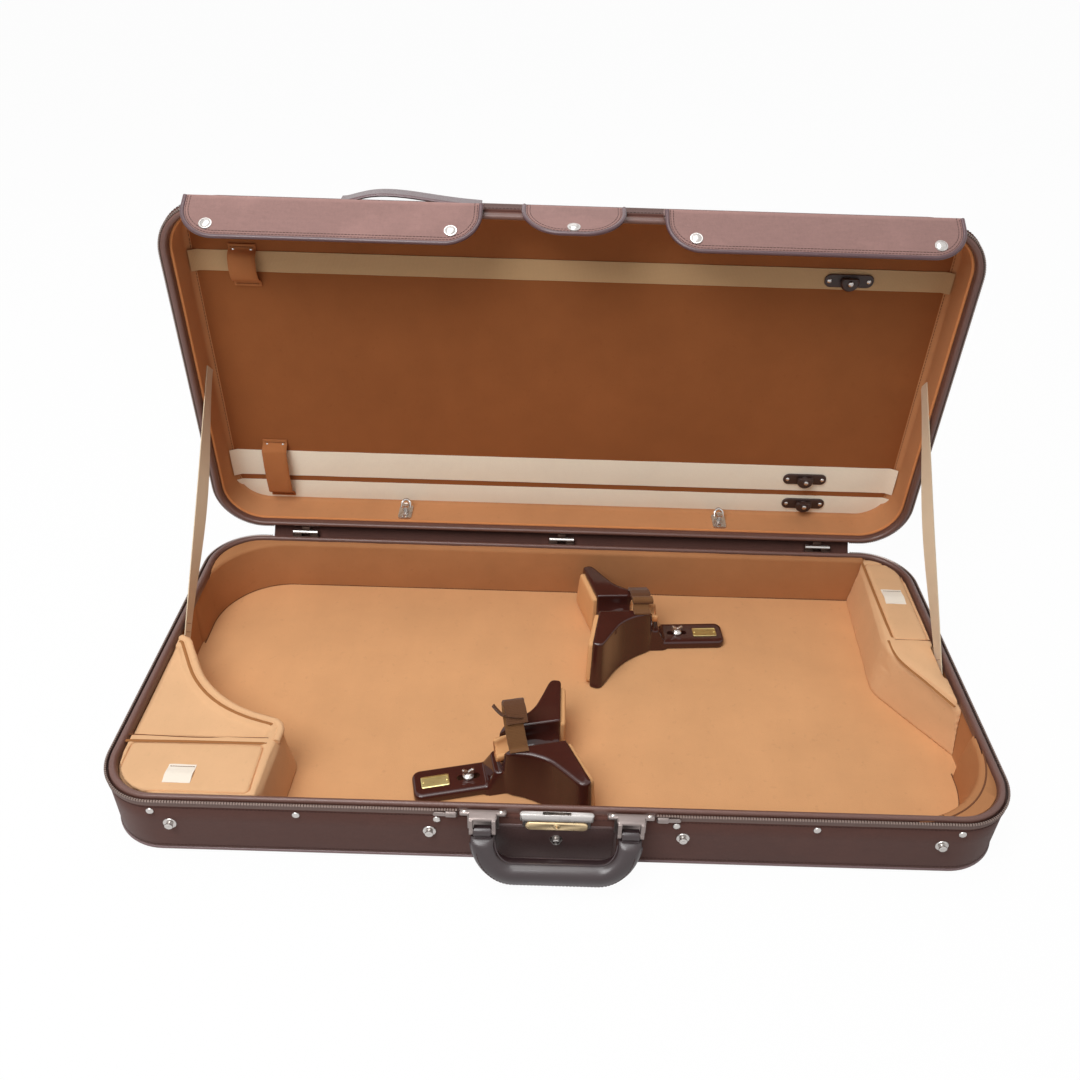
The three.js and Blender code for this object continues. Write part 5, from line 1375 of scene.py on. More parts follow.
@dataclass
class Cradle:
    """Neck cradle: moulded saddle, pads, strap, wing screw and gilt plate."""

    side: str
    at: tuple[float, float]
    turn: float
    opened: bool = False
    tall: float = 54
    plate_u: float = 118
    foot: float = 9
    foot_span: tuple[float, float] = (30, 139)
    screw_u: float = 87
    face: float = math.radians(13)
    trough: float = 12
    strap_u: float = 42.5
    low_tip: tuple[float, float] = (-16.8, 73)
    top_tip: tuple[float, float] = (-14.5, 63)
    low_half: tuple[tuple[float, float], ...] = (
        (-10, 76), (-3, 74), (12, 53), (24, 40), (39, 29), (52, 22), (60, 14), (62, 0), (60, -14))
    top_half: tuple[tuple[float, float], ...] = (
        (-9, 66), (-3, 64), (9, 46), (19, 33), (33, 24), (47, 19.5), (55, 13), (57, 0), (55, -13))
    pad_crown: tuple[tuple[float, float], ...] = (
        (0, 1), (2.6, 1), (3.6, 0.985), (4.3, 0.95), (4.7, 0.88), (5.0, 0.7), (5.15, 0.45), (5.2, 0.15))
    lining: tuple[tuple[float, float], ...] = (
        (33, 1.4), (36, 2.0), (46, 2.4), (52, 3.2), (57, 4.2), (59.6, 4.4), (61.2, 3.6), (62, 1.8))
    plate_steps: tuple[tuple[float, float, float], ...] = (
        (0, 0, 1.5), (0.7, 0, 1.5), (0.9, 0.6, 1.3), (0.9, 2.4, 1), (0.6, 2.8, 1))

    @property
    def place(self) -> Matrix:
        """The cradle's own frame: x toward the scroll, z up from its sole."""
        return Matrix.Translation((*self.at, 9.2)) @ Matrix.Rotation(self.turn, 4, "Z")

    def ring(self, half: Sequence[Sequence[float]], tip: tuple[float, float]) -> Outline:
        """Full outline from one half.

        Args:
            half: The outer curve of one half, with one point past the middle.
            tip: The wing's end on the face.

        Returns:
            The points.
        """
        curve = smooth_line([(*p, 0) for p in half], 6)[:-6]
        side = [Vector(tip) * (k / 8) for k in range(1, 9)] + [p.to_2d() for p in curve]
        return [Vector((0, 0)), *side, *[Vector((p.x, -p.y)) for p in reversed(side[:-1])]]

    def centre(self, u: float) -> float:
        """Height of the channel's middle."""
        return 48 - 6 * u / 57

    def channel(self, half: float, u: float, drop: float = 0) -> list[Vector]:
        """Section of the channel, open at the top.

        Args:
            half: Its half width.
            u: Place along the cradle.
            drop: How much deeper it is there.

        Returns:
            The points from one side to the other.
        """
        z = self.centre(u)
        arc = [math.pi * k / 16 for k in range(17)]
        return [Vector((u, half * math.cos(a), z - (half + drop) * math.sin(a))) for a in arc]

    def saddle(self, body: str) -> None:
        """Make the moulded saddle with its channel, foot and slot.

        Args:
            body: The cradle's body.
        """
        low, top = self.ring(self.low_half, self.low_tip), self.ring(self.top_half, self.top_tip)
        levels = []
        for k in range(15):
            share = k / 14
            levels.append((share * self.tall, [a.lerp(b, share**0.6) for a, b in zip(low, top)]))
        made = Form().loft(levels).piece(f"{self.side}_saddle").knead(1.2, 2, 0.4)
        cut, rings = Form(), []
        for u in (-40, -12, 0, 6, 12, 18, 24, 32, 48, 80):
            drop = 9 * max(0, 1 - max(u, 0) / 26) ** 1.5
            section = self.channel(self.trough, u, drop)
            rings.append([Vector((u, self.trough, 90)), *section, Vector((u, -self.trough, 90))])
        made.subtract(cut.skin(rings).piece("channel_cut"))
        middle = (sum(self.foot_span) / 2, 0)
        length = self.foot_span[1] - self.foot_span[0]
        levels = ((0, 0), (3, 0), *arc_up(self.foot, 3))
        foot = Form().loft([(z, rounded(length - 2 * i, 33 - 2 * i, 8 - i, middle)) for z, i in levels])
        brace = [(z, rounded(36 - z, 38 - z * 0.4, 5, (58, 0))) for z in (0, 9, 12, 16, 20, 24)]
        made.join(foot.loft(brace).piece("foot_part"))
        slot = Form().loft([(z, rounded(22, 6, 2.9, (self.screw_u, 0))) for z in (-5, 20)])
        made.knead(0.95, 9, 0.6)
        for vertex in made.object.data.vertices:
            p = vertex.co / MM
            fall = max(0, min(1, (p.x - 45) / 13))
            if p.z > 30:
                vertex.co.z -= (p.z - 30) / 24 * 7 * fall * fall * (3 - 2 * fall) * MM
        made.subtract(slot.piece("slot_cut"))
        seat = Matrix.Translation(Vector(self.place.translation) * MM)
        made.object.data.transform(seat @ Matrix.Rotation(self.turn, 4, "Z"))
        made.dress(CRADLE_PLASTIC, body, self.place, 60).stand_for(body)

    def pads(self, body: str) -> None:
        """Make the two shoulder pads and the lining of the channel's end.

        Args:
            body: The cradle's body.
        """
        for side, name in ((1, "a"), (-1, "b")):
            edge = fillet([(12.5, 1, 3), (71, 1, 5), (61, 49, 5), (12.5, 49, 3)], 9)
            middle = sum(edge, Vector((0, 0))) / len(edge)
            along = Vector((-math.sin(self.face), side * math.cos(self.face), 0))
            out = Vector((-math.cos(self.face), -side * math.sin(self.face), 0))
            rings = []
            for rise, shrink in self.pad_crown:
                ring = [middle + (p - middle) * shrink for p in edge]
                rings.append([along * p.x + Vector((0, 0, p.y)) + out * rise for p in ring])
            made = Form().skin(rings).piece(f"{self.side}_shoulder_pad_{name}", self.place)
            made.ruffle(0.35, 70, 3).dress(PAD_VELVET, body, self.place, 60)
            if side > 0:
                made.stand_for(f"{self.side}_cradle_pad")
        rings = []
        for u, thick in self.lining:
            outer, inner = (self.channel(self.trough - step, u) for step in (0.1, thick))
            for line in (outer, inner):
                for end in (0, -1):
                    line[end] += Vector((0, 0, 4.6 - 2.6 * max(0, (u - 45) / 16)))
            rings.append([*outer, *reversed(inner)])
        made = Form().skin(rings).piece(f"{self.side}_channel_lining", self.place)
        made.modify("SUBSURF", levels=1, render_levels=1).dress(PAD_VELVET, body, self.place, 80)

    def build(self) -> None:
        """Make the whole cradle."""
        body = f"{self.side}_cradle"
        self.saddle(body)
        self.pads(body)
        self.strap(body)
        screw = Piece.of_node(f"{self.side}_wing_screw", f"{self.side}_wing_screw_bright").bevel(0.5, 3)
        screw.dress(CHROME, f"{self.side}_wing_screw")
        middle = (self.plate_u, 0)
        plate = Form().loft([(self.foot + z, rounded(26 - less, 13 - less, corner, middle))
                             for z, less, corner in self.plate_steps])
        for end in (-11, 11):
            plate.lathe(Turned.PLATE_PIN.value, (self.plate_u + end, 0, self.foot + 0.5), sides=12)
        plate.piece(f"{self.side}_foot_plate", self.place).dress(PLATE_GILT, body, self.place)

    def band(self, name: str, line: Sequence[Sequence[float]], width: float, thick: float, finish: Finish,
             across: Sequence[float] = (1, 0, 0), finer: int = 8) -> Piece:
        """Make one stretch of strap.

        Args:
            name: Its name.
            line: Its middle line.
            width: Its width.
            thick: Its thickness.
            finish: Its finish.
            across: Direction of its width.
            finer: Steps between two points.

        Returns:
            The piece.
        """
        fine = smooth_line(line, finer)
        waves = [(0.3 * math.sin(p.y * 0.4 + p.z * 0.3), 0, 0.12 * math.sin(p.y * 1.1)) for p in fine]
        wavy = [p + Vector(wave) for p, wave in zip(fine, waves)]
        form = Form().band(wavy, Vector(across).normalized(), width, thick, 8)
        made = form.piece(f"{self.side}_{name}", self.place)
        return made.ruffle(0.18, 240, 2).dress(finish, f"{self.side}_cradle", self.place, 50)

    def strap(self, body: str) -> None:
        """Make the hook-and-loop strap: closed with a rolled end, or open with a free end.

        Args:
            body: The cradle's body.
        """
        seat = Vector((self.strap_u, 0, self.tall + 1.2))
        if self.opened:
            line = [(0, 20, 0), (0, 15, 1), (1, 9.5, 8), (2, 2, 18), (2, -5, 24), (1, -13, 27),
                    (0, -19, 24.5)]
            pile = [(-1, 4, 20), (-1, -3, 25.2), (-1, -10, 28.6), (-1, -17, 28), (-1, -21.4, 23.5),
                    (-1, -20, 17.5),
                    (-1, -15, 14.5)]
            end = [(-6, -2, 20), (2, -3, 21), (9, -5, 22.5), (14, -8, 26), (18.5, -12, 31)]
            sewn = [(0, 16, 1.4), (0.6, 12, 5.6)]
        else:
            line = [(0, 21, 0), (0, 15, 0.6), (0, 10, 4.6), (0, 4, 6.9), (0, -3, 6.6), (0, -9, 4),
                    (0, -14, 0.6),
                    (0, -21, 0)]
            pile = [(0, 22, 0.4), (0, 17, 2.4), (0, 11, 7), (0, 4, 9.2), (0, -2, 8.4)]
            curl = [(0.5 * k - 0.4, 4.6 - 0.21 * k) for k in range(15)]
            end = [(1.5, -7.5 + radius * math.cos(a), 7.4 + radius * math.sin(a)) for a, radius in curl]
            sewn = [(0, -16, 0.9), (0, -20, 0.9)]
        line, pile, end, sewn = ([seat + Vector(p) for p in points] for points in (line, pile, end, sewn))
        self.band("strap", line, 17, 1.5, HOOK_LOOP).stand_for(f"{self.side}_cradle_strap")
        if self.opened:
            self.band("strap_pile", pile, 18.5, 2.2, LOOP_PILE)
            self.band("strap_end", end, 14, 1.5, LOOP_PILE, (0, 0.61, 0.77))
        else:
            self.band("strap_pile", pile, 20, 2.4, LOOP_PILE)
            self.band("strap_roll", end, 21, 1.4, HOOK_LOOP, finer=3)
        for name, edge in (("a", -7), ("b", 7)):
            row = [p + Vector((edge, 0, 0)) for p in sewn]
            sew(f"{self.side}_strap_stitch_{name}", row, Stitch.TAPE, body, THREAD, self.place)


@dataclass
class Handle:
    """Carrying handle, moulded over a core, with its raised seam."""

    x: float = 62.5
    pin_out: float = 9.8
    grip_out: float = 24.2
    pin_z: float = 52.5
    grip_z: float = 18.4
    bend: float = 27
    stations: int = 40
    stem: tuple[float, float] = (10, 4.9)
    grip: tuple[float, float] = (10.4, 10.4)

    def ring(self, u: float, wide: float = 1, sides: int = 28) -> list[Vector]:
        """Section of the right half at a share of its way to the middle.

        Args:
            u: Share from the stem's top to the handle's middle.
            wide: Factor on the section.
            sides: Sides of the section.

        Returns:
            The section's points.
        """
        top, low = self.pin_z - 5, self.grip_z + self.bend
        lengths = (top - low, math.pi / 2 * self.bend, self.x - self.bend)
        s = u * sum(lengths)
        if s < lengths[0]:
            x, z, angle = self.x, top - s, 0.0
            share = 0.25 * s / lengths[0]
        elif s < lengths[0] + lengths[1]:
            t = (s - lengths[0]) / lengths[1]
            angle = math.pi / 2 * t
            x = self.x - self.bend + self.bend * math.cos(angle)
            z = low - self.bend * math.sin(angle)
            share = 1 - (1 - t) ** 2 * 0.75
        else:
            x, z = self.x - self.bend - (s - lengths[0] - lengths[1]), self.grip_z
            angle, share = math.pi / 2, 1.0
        y = FRONT_Y - self.pin_out - (self.grip_out - self.pin_out) * share
        across = Vector((math.cos(angle), 0, -math.sin(angle)))
        half_across = self.stem[0] + (self.grip[0] - self.stem[0]) * share
        half_in = self.stem[1] + (self.grip[1] - self.stem[1]) * share
        centre = Vector((x, y, z))
        points = []
        for k in range(sides):
            a = 2 * math.pi * k / sides
            c, d = math.cos(a), math.sin(a)
            bulge = abs(c) ** 0.85 * (1 if c > 0 else -1)
            points.append(centre + across * (half_across * wide * bulge) + Vector((0, half_in * wide * d, 0)))
        return points

    def line(self, wide: float, first: int, corner: int) -> list[Vector]:
        """Line along the whole handle through one corner of its sections."""
        half = [self.ring(k / self.stations, wide)[corner] for k in range(first, self.stations + 1)]
        return [*half, *[Vector((-p.x, p.y, p.z)) for p in reversed(half[:-1])]]

    def eyes(self) -> None:
        """Make the two ends that the pins pass through."""
        ends = Form()
        for side in (-1, 1):
            x, y = side * self.x, FRONT_Y - self.pin_out
            ends.block((x - 7.4, y - 4.4, self.pin_z - 7), (x + 7.4, y + 4.4, self.pin_z - 3.2))
            arch = [(4.6, -7.4), (4.9, -7), (4.9, 7), (4.6, 7.4), (2.55, 7.4), (2.55, -7.4)]
            loop = []
            for radius, reach in arch:
                loop.append([Vector((x + reach, y + radius * math.cos(a), self.pin_z + radius * math.sin(a)))
                             for a in (2 * math.pi * k / 24 for k in range(24))])
            ends.rings(loop, True, (False, False), True)
        ends.piece("handle_eyes").bevel(0.5, 2).dress(HANDLE_HIDE, "handle")

    def build(self) -> None:
        """Make the grip, its seams and its ends."""
        right = [self.ring(k / self.stations) for k in range(self.stations)]
        left = [[Vector((-p.x, p.y, p.z)) for p in ring] for ring in reversed(right)]
        grip = Form().skin([*right, *left]).piece("handle_grip").ruffle(0.15, 60, 9)
        grip.dress(HANDLE_HIDE, "handle", sharp=60).stand_for("handle")
        for corner, name in ((0, "outer"), (14, "inner")):
            seam = Form().tube(self.line(1.01, 2, corner), 0.9, 0.9, up=(0, 1, 0), sides=7)
            seam.piece(f"handle_{name}_seam").dress(HANDLE_HIDE, "handle")
        sew("handle_stitches", self.line(1.012, 4, 23), Stitch.HANDLE, "handle")
        self.eyes()


@dataclass
class FrontFittings:
    """Snap studs, handle mounts, lock and zip sliders on the front."""

    studs: tuple[tuple[str, float, float], ...] = (
        ("left_outer", -332, 38), ("left_inner", -109, 38), ("middle", 0, 32), ("right_inner", 109, 38),
        ("right_outer", 332, 38))
    mounts: tuple[tuple[str, float], ...] = (("left", -62.5), ("right", 62.5))
    yoke: tuple[float, float] = (13.5, 24)
    rivets: tuple[float, ...] = (-78, -47, 47, 78)

    def mount(self, side: str, middle: float) -> None:
        """Make one handle mount; its plate ends beside the yoke.

        Args:
            side: Its side.
            middle: Its middle.
        """
        made = Piece.of_node(f"handle_mount_{side}", f"mount_{side}")
        spare = Form()
        for end in (-1, 1):
            near, far = sorted(middle + end * reach for reach in self.yoke)
            spare.block((near, FRONT_Y - 2, 40), (far, FRONT_Y + 1, 65.4))
        made.subtract(spare.piece("spare_plate")).bevel(0.45, 3).dress(DULL_STEEL, "base")

    def build(self) -> None:
        """Make every fitting of the front."""
        for label, x, z in self.studs:
            stud = turned(f"stud_{label}", Turned.STUD, [(x, FRONT_Y, z)], OUTWARD, "base", sides=32)
            stud.stand_for(f"snap_stud_{label}")
        for side, middle in self.mounts:
            self.mount(side, middle)
            slider = Piece.of_node(f"zip_slider_{side}", f"slider_{side}").bevel(0.35, 2)
            slider.dress(DULL_STEEL, f"zip_slider_{side}")
        rivets = [(x, FRONT_Y - 2.4, 68.4) for x in self.rivets]
        turned("mount_rivets", Turned.MOUNT_RIVET, rivets, UP, "base", sides=16)
        Piece.of_node("lock_body", "lock_case").bevel(0.5, 3).dress(CHROME, "base")
        Piece.of_node("lock_lever", "lock_flap").bevel(0.35, 3).dress(GILT, "lock_lever")
        Piece.of_node("key_barrel", "key_disc").bevel(0.2, 2).dress(GILT, "key_barrel")
        Piece.of_node("lock_strike", "strike_tongue").bevel(0.3, 2).dress(CHROME, "lid")


@dataclass
class Hinges:
    """Three hinges: their two leaves, their barrels and the cloth between them."""

    barrel: float = 2.5
    reach: float = 336
    slack: float = 1.03
    labels: tuple[str, ...] = ("left", "middle", "right")

    def cloth(self, index: int, left: float, right: float, clear: bool) -> None:
        """Make one stretch of the cloth that closes the gap behind the bead.

        Args:
            index: Its number.
            left: Its left end.
            right: Its right end.
            clear: Whether it passes outside a hinge.
        """
        near = Vector((0, 191.8 if clear else 190.5, 57))
        far = Vector((0, 204.5, 71.8)) if clear else Vector((0, 206.5, 74.3))
        out = Vector((0, 0.3, -0.3))
        waves = [(left + (right - left) * j / 24, 0.2 * math.sin(j * 1.3)) for j in range(25)]
        rings = []
        for k in range(15):
            share = k / 14
            middle = near.lerp(far, share) + Vector((0, 0.7, -0.7)) * (2.2 * math.sin(math.pi * share))
            line = [Vector((x, middle.y, middle.z + wave)) for x, wave in waves]
            rings.append([*[p + out for p in line], *[p - out for p in reversed(line)]])
        made = Form().skin(rings).piece(f"hinge_cloth_{index}")
        # The cloth takes the darker shell canvas, with painted shade.
        made.dress(SHADED_SHELL_CANVAS, None, sharp=50)
        long = (far - near).length * self.slack
        (right - left) * MM
        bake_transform(made.object, "base", "lid", start=tuple(near * MM), end=tuple(far * MM))

    def build(self) -> None:
        """Make the cloth between and outside the hinges, then each hinge."""
        spans = [[corner.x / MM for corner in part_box(f"hinge_base_{label}")] for label in self.labels]
        edges = [-self.reach, *[edge for low, high in spans for edge in (low - 1, high + 1)], self.reach]
        for index, (left, right) in enumerate(zip(edges, edges[1:])):
            self.cloth(index, left, right, index % 2 == 1)
        for label, (low, high) in zip(self.labels, spans):
            for body in ("base", "lid"):
                leaf = Piece.of_node(f"hinge_{body}_{label}", f"{body}_leaf_{label}").bevel(0.25, 2)
                leaf.dress(AGED_STEEL, body)
            pin = [(0, 0), (self.barrel, 0.4), (self.barrel, high - low - 0.4), (0, high - low)]
            barrel = Form().lathe(pin, (low, HINGE_Y, HINGE_Z), (1, 0, 0), 20)
            barrel.piece(f"hinge_barrel_{label}").dress(CHROME, "base")


@dataclass
class LidShell:
    """Canvas lid with the roots of its flaps."""

    low: float = 78
    top: float = 128
    edge: float = 15
    lean: float = 6.5
    welt_drop: float = 3.4
    root: tuple[tuple[float, float], ...] = (
        (1, 86), (0, 86.4), (-2, 85), (-6.2, 75), (-6.8, 73.6), (-6.6, 72.3), (-5.8, 72),
        (-1.8, 72.1), (1, 78))

    def outline(self, z: float, inset: float) -> Outline:
        """The lid's outline at a height; its front wall leans back.

        Args:
            z: The height.
            inset: How far the outline is drawn in.

        Returns:
            The points.
        """
        front = self.lean * max(0, min(1, (z - self.low) / (self.top - self.edge - self.low)))
        length, depth = CASE_LENGTH - 2 * inset, CASE_DEPTH - 2 * inset - front
        return rounded(length, depth, CASE_CORNER - inset, (0, front / 2))

    def build(self) -> None:
        """Make the shell, the seam round its top and the flap roots."""
        edge = ((self.low, 5.6), (self.low, 1), (self.low + 1, 0))
        levels = [(z, self.outline(self.low, inset)) for z, inset in edge]
        levels += [(z, self.outline(z, inset)) for z, inset in arc_up(self.top, self.edge, 9, 1)]
        levels += [(self.top + 0.01, self.outline(self.top, 30))]
        shell = Form().loft(levels, (False, True)).piece("lid_canvas", LID)
        # The lid's canvas carries painted shade.
        shell.dress(SHADED_SHELL_CANVAS, "lid", LID, 50).stand_for("lid_shell")
        height = self.top - self.welt_drop
        welt = raised(self.outline(height, 6.2), height)
        Form().tube(welt, 1.4, closed=True).piece("lid_piping", LID).dress(PIPING, "lid", LID)
        sew("lid_edge_stitches", raised(plan(-0.1), self.low + 3), Stitch.EDGE, "lid", place=LID, closed=True)
        for index, (left, right) in enumerate(FLAP_SPANS.values()):
            stations = (left, left + 1, right - 1, right)
            rings = [[Vector((x, FRONT_Y + y, z)) for y, z in self.root] for x in stations]
            Form().skin(rings).piece(f"flap_root_{index}", LID).dress(FLAP_CANVAS, "lid", LID, 50)


@dataclass
class LidLining:
    """Velvet inside of the lid, with its piping."""

    length: float = 772
    depth: float = 362
    corner: float = 42
    panel: float = LID_PANEL_Z
    edge: float = 6

    def void(self, inset: float) -> Outline:
        """The lining's face in plan, drawn in."""
        return rounded(self.length - 2 * inset, self.depth - 2 * inset, self.corner - inset)

    def build(self) -> None:
        """Make the walls, the panel and the piping along the bead."""
        walls = [(78.2, self.void(-5)), (78.2, self.void(0))]
        walls += [(z, self.void(0.4 * math.sin(math.pi * (z - 78) / 34))) for z in (84, 90, 96, 102, 106)]
        walls += [(z, self.void(inset)) for z, inset in arc_up(self.panel, self.edge, 6)]
        made = Form().loft(walls, (False, False)).piece("lid_side_velvet_shaded", LID)
        # The lid's side walls wear a darker copy of the velvet, with painted shade.
        made.ruffle(0.3, 18, 6).dress(LID_SIDE_SHADED_VELVET, "lid", LID, 60).stand_for("lid_lining")
        rings = [raised(self.void(inset), self.panel + z) for inset, z in ((5.6, 0.02), (9, -0.1), (30, 0))]
        panel = Form().rings(rings, True, (False, True)).piece("lid_panel_shaded_velvet", LID)
        # The panel wears the darkest copy of the velvet, with painted shade.
        panel.dress(LID_PANEL_SHADED_VELVET, "lid", LID, 60)
        line = raised(rounded(773, 362, 43), 78.6)
        Form().tube(line, 1.5, closed=True).piece("lid_bead_piping", LID).dress(PALE_PIPING, "lid", LID)
        seam = raised(self.void(4.4), self.panel - 0.4)
        sew("lid_panel_stitches", seam, Stitch.PANEL, "lid", THREAD, LID, True)


@dataclass
class LidFittings:
    """Ribbons, bow loops, bow spinners, hooks and the strap of the lid."""

    panel: float = LID_PANEL_Z
    half_ribbon: float = 384.4
    # The upper ribbon takes the darker cream, with painted shade.
    ribbons: tuple[tuple[str, float, float, Finish], ...] = (
        ("lower", 17, 41, CREAM), ("middle", 48, 82, CREAM), ("upper", 299, 321, PAINTED_SHADE_CREAM))
    loops: tuple[tuple[str, float, float, float], ...] = (("upper", -330, 284, 328), ("lower", -331, 20, 97))
    spinners: tuple[tuple[str, float, float], ...] = (
        ("lower", 284, 30.5), ("middle", 280, 65), ("upper", 281, 309))
    hooks: tuple[tuple[str, float], ...] = (("left", -184), ("right", 184))
    hook_tall: float = 1.7
    hook_wide: float = 1.1
    bail: tuple[tuple[float, float, float], ...] = (
        (-4.6, 176, 99), (-4.2, 171, 103), (0, 168.6, 105), (4.2, 171, 103), (4.6, 176, 99))
    strap_rise: tuple[tuple[float, float], ...] = (
        (-222, 3.6), (-216, 2.8), (-206, 0), (-193, -3), (-178, -4.2), (-160, -3.4), (-142, -1.4),
        (-124, 0.8),
        (-106, 2.6), (-94, 3.4), (-88, 3.8))

    def ribbon(self, label: str, near: float, far: float, finish: Finish) -> None:
        """Make one ribbon.

        Args:
            label: Its name.
            near: Its near edge from the hinge.
            far: Its far edge from the hinge.
            finish: Its weave.
        """
        half, steps = self.half_ribbon, 96
        rings = []
        for k in range(steps + 1):
            x = -half + 2 * half * k / steps
            wave = 0.5 * noise.noise(Vector((x * 0.021, near * 0.3, 0)))
            edge = 0.5 * noise.noise(Vector((x * 0.03, near, 4)))
            end = max(0, (abs(x) - 377) / 7.4) ** 2 * 4
            top = []
            for j in range(7):
                share = j / 6
                crown = 0.5 * math.sin(math.pi * share)
                y = HINGE_Y - near - (far - near) * share + edge * (share - 0.5)
                top.append(Vector((x, y, self.panel - 0.75 - crown - wave * crown - end)))
            rings.append([*top, *[p + Vector((0, 0, 0.6)) for p in reversed(top)]])
        made = Form().skin(rings).piece(f"{label}_ribbon", LID)
        made.dress(finish, "lid", LID, 50).stand_for(f"ribbon_{label}")
        (far - near) * MM

    def loop(self, label: str, x: float, near: float, far: float) -> None:
        """Make one bow loop with its sewn feet.

        Args:
            label: Its name.
            x: Its middle.
            near: Its near end from the hinge.
            far: Its far end from the hinge.
        """
        front, back = HINGE_Y - far, HINGE_Y - near
        crown, foot = self.panel - 10.6, self.panel - 1.9
        rise = ((0, foot + 0.9), (5, foot), (9, crown + 2.6), (14, crown))
        line = [*[(x, front + y, z) for y, z in rise], (x, (front + back) / 2, crown - 1.1),
                *[(x, back - y, z) for y, z in reversed(rise)]]
        made = Form().band(smooth_line(line, 6), Vector((1, 0, 0)), 27, 1.7).piece(f"{label}_bow_loop", LID)
        made.ruffle(0.3, 60, 8).dress(LOOP_VELVET, "lid", LID, 60).stand_for(f"bow_loop_{label}")
        for y, name in ((front + 2.6, "far"), (back - 2.6, "near")):
            row = [Vector((x + end, y, foot - 0.6)) for end in (-12, 12)]
            sew(f"{label}_loop_{name}_stitches", row, Stitch.LOOP, "lid", THREAD, LID)
        pins = [(x + end, front + 5.5, foot - 0.7) for end in (-9, 9)]
        turned(f"{label}_loop_pins", Turned.LOOP_PIN, pins, DOWN, "lid", LID, 16)

    def spinner(self, label: str, x: float, reach: float) -> None:
        """Make one bow spinner: riveted plate, lobe and screw.

        Args:
            label: Its name.
            x: Its middle.
            reach: Its distance from the hinge.
        """
        y, body = HINGE_Y - reach, f"spinner_{label}"
        plate = Piece.of_node(f"spinner_base_{label}", f"{label}_spinner_plate").bevel(0.5, 3)
        plate.dress(BROWN_HIDE, "lid", LID)
        Piece.of_node(body, f"{label}_spinner_lobe").bevel(0.7, 3).dress(BROWN_HIDE, body, LID)
        rivets = [(x + end, y, self.panel - 3.1) for end in (-20, 20)]
        turned(f"{label}_spinner_rivets", Turned.SPINNER_RIVET, rivets, DOWN, "lid", LID)
        screw = [(x, y, self.panel - 10.6)]
        turned(f"{label}_spinner_screw", Turned.SPINNER_SCREW, screw, DOWN, body, LID)

    def hook(self, side: str, x: float) -> None:
        """Make one hook, drawn out further than its node, and the bail that hangs in it.

        Args:
            side: Its side.
            x: Its middle.
        """
        hook = Piece.of_node(f"lid_hook_{side}", f"{side}_hook").bevel(0.3, 2)
        points = hook.object.data.vertices
        wall = min(v.co.z for v in points)
        middle = sum(v.co.x for v in points) / len(points)
        for vertex in points:
            vertex.co.z = wall + (vertex.co.z - wall) * self.hook_tall
            vertex.co.x = middle + (vertex.co.x - middle) * self.hook_wide
        hook.dress(CHROME, "lid", LID)
        bail = smooth_line([(x + step, y, z) for step, y, z in self.bail], 6)
        Form().tube(bail, 1.5, 1.5).piece(f"{side}_hook_bail", LID).dress(CHROME, "lid", LID)

    def build(self) -> None:
        """Make every fitting of the lid."""
        for ribbon in self.ribbons:
            self.ribbon(*ribbon)
        for loop in self.loops:
            self.loop(*loop)
        for spinner in self.spinners:
            self.spinner(*spinner)
        for hook in self.hooks:
            self.hook(*hook)
        line = smooth_line([(x, FRONT_Y + y, 102) for x, y in self.strap_rise], 6)
        strap = Form().band(line, Vector((0, 0, 1)), 15, 2.6).piece("lid_strap", LID)
        strap.dress(BINDING, "lid", LID, 60).stand_for("grab_strap")


@dataclass
class Flap:
    """Canvas flap with its bound edge, its stitches and its snap caps."""

    label: str
    length: float
    radius: float
    droop: float
    caps: tuple[tuple[float, float], ...]
    start: float = 0.8
    half_cloth: float = 1
    rows: int = 10

    @property
    def place(self) -> Matrix:
        """The flap's own frame: x along it, y back up to its root, z outward."""
        turn = Matrix.Rotation(math.pi / 2 + math.radians(self.droop), 4, "X")
        return LID @ Matrix.Translation((0, FRONT_Y - 6.8, 71.7)) @ turn

    def edge(self, inset: float) -> Outline:
        """The flap's free edge from its left root to its right root.

        Args:
            inset: How far it lies inside the cut edge.

        Returns:
            The points.
        """
        left, right = FLAP_SPANS[self.label][0] + inset, FLAP_SPANS[self.label][1] - inset
        low = -self.length + inset
        radius = max(2, self.radius - inset)
        corners = [(left, low, radius), (right, low, radius), (right, -self.start), (left, -self.start)]
        points = fillet(corners, 4)
        return [points[-1], *points[:-1]]

    def bow(self, point: Vector) -> float:
        """How far the cloth curls outward at a point."""
        wave = noise.noise(Vector((point.x * 0.03, point.y * 0.03, 1)))
        return 0.9 * math.sin(math.pi * min(1, -point.y / self.length)) + 0.35 * wave

    def raised(self, points: Sequence[Vector], z: float) -> list[Vector]:
        """Points of the flap at a height over its bowed middle."""
        return [Vector((p.x, p.y, z + self.bow(p))) for p in points]

    def build(self) -> None:
        """Make the cloth, the binding, two rows of stitches and the caps."""
        body, edge = f"flap_{self.label}", self.edge(0.6)
        shares = [k / self.rows for k in range(self.rows + 1)]
        sheets = [[Vector((p.x, min(-self.start, p.y * share), 0)) for p in edge] for share in shares]
        faces = [[self.raised(ring, side * self.half_cloth) for ring in sheets[::side]] for side in (1, -1)]
        form = Form().rings([*faces[0], *faces[1]], False, closed=True)
        made = form.piece(f"{self.label}_flap_cloth", self.place)
        made.dress(FLAP_CANVAS, body, self.place, 50).stand_for(body)
        bound = Form().tube(self.raised(self.edge(2.0), 0.4), 2.1, 1.9, sides=12)
        bound.piece(f"{self.label}_flap_binding", self.place).dress(BINDING, body, self.place)
        for inset, name in ((5.0, "edge"), (7.6, "inner")):
            row = self.raised(self.edge(inset), 1.05)
            sew(f"{self.label}_flap_{name}_stitches", row, Stitch.FLAP, body, place=self.place)
        caps = self.raised([Vector((x, -down)) for x, down in self.caps], 0.8)
        turned(f"{self.label}_flap_caps", Turned.CAP, caps, UP, body, self.place, 32)


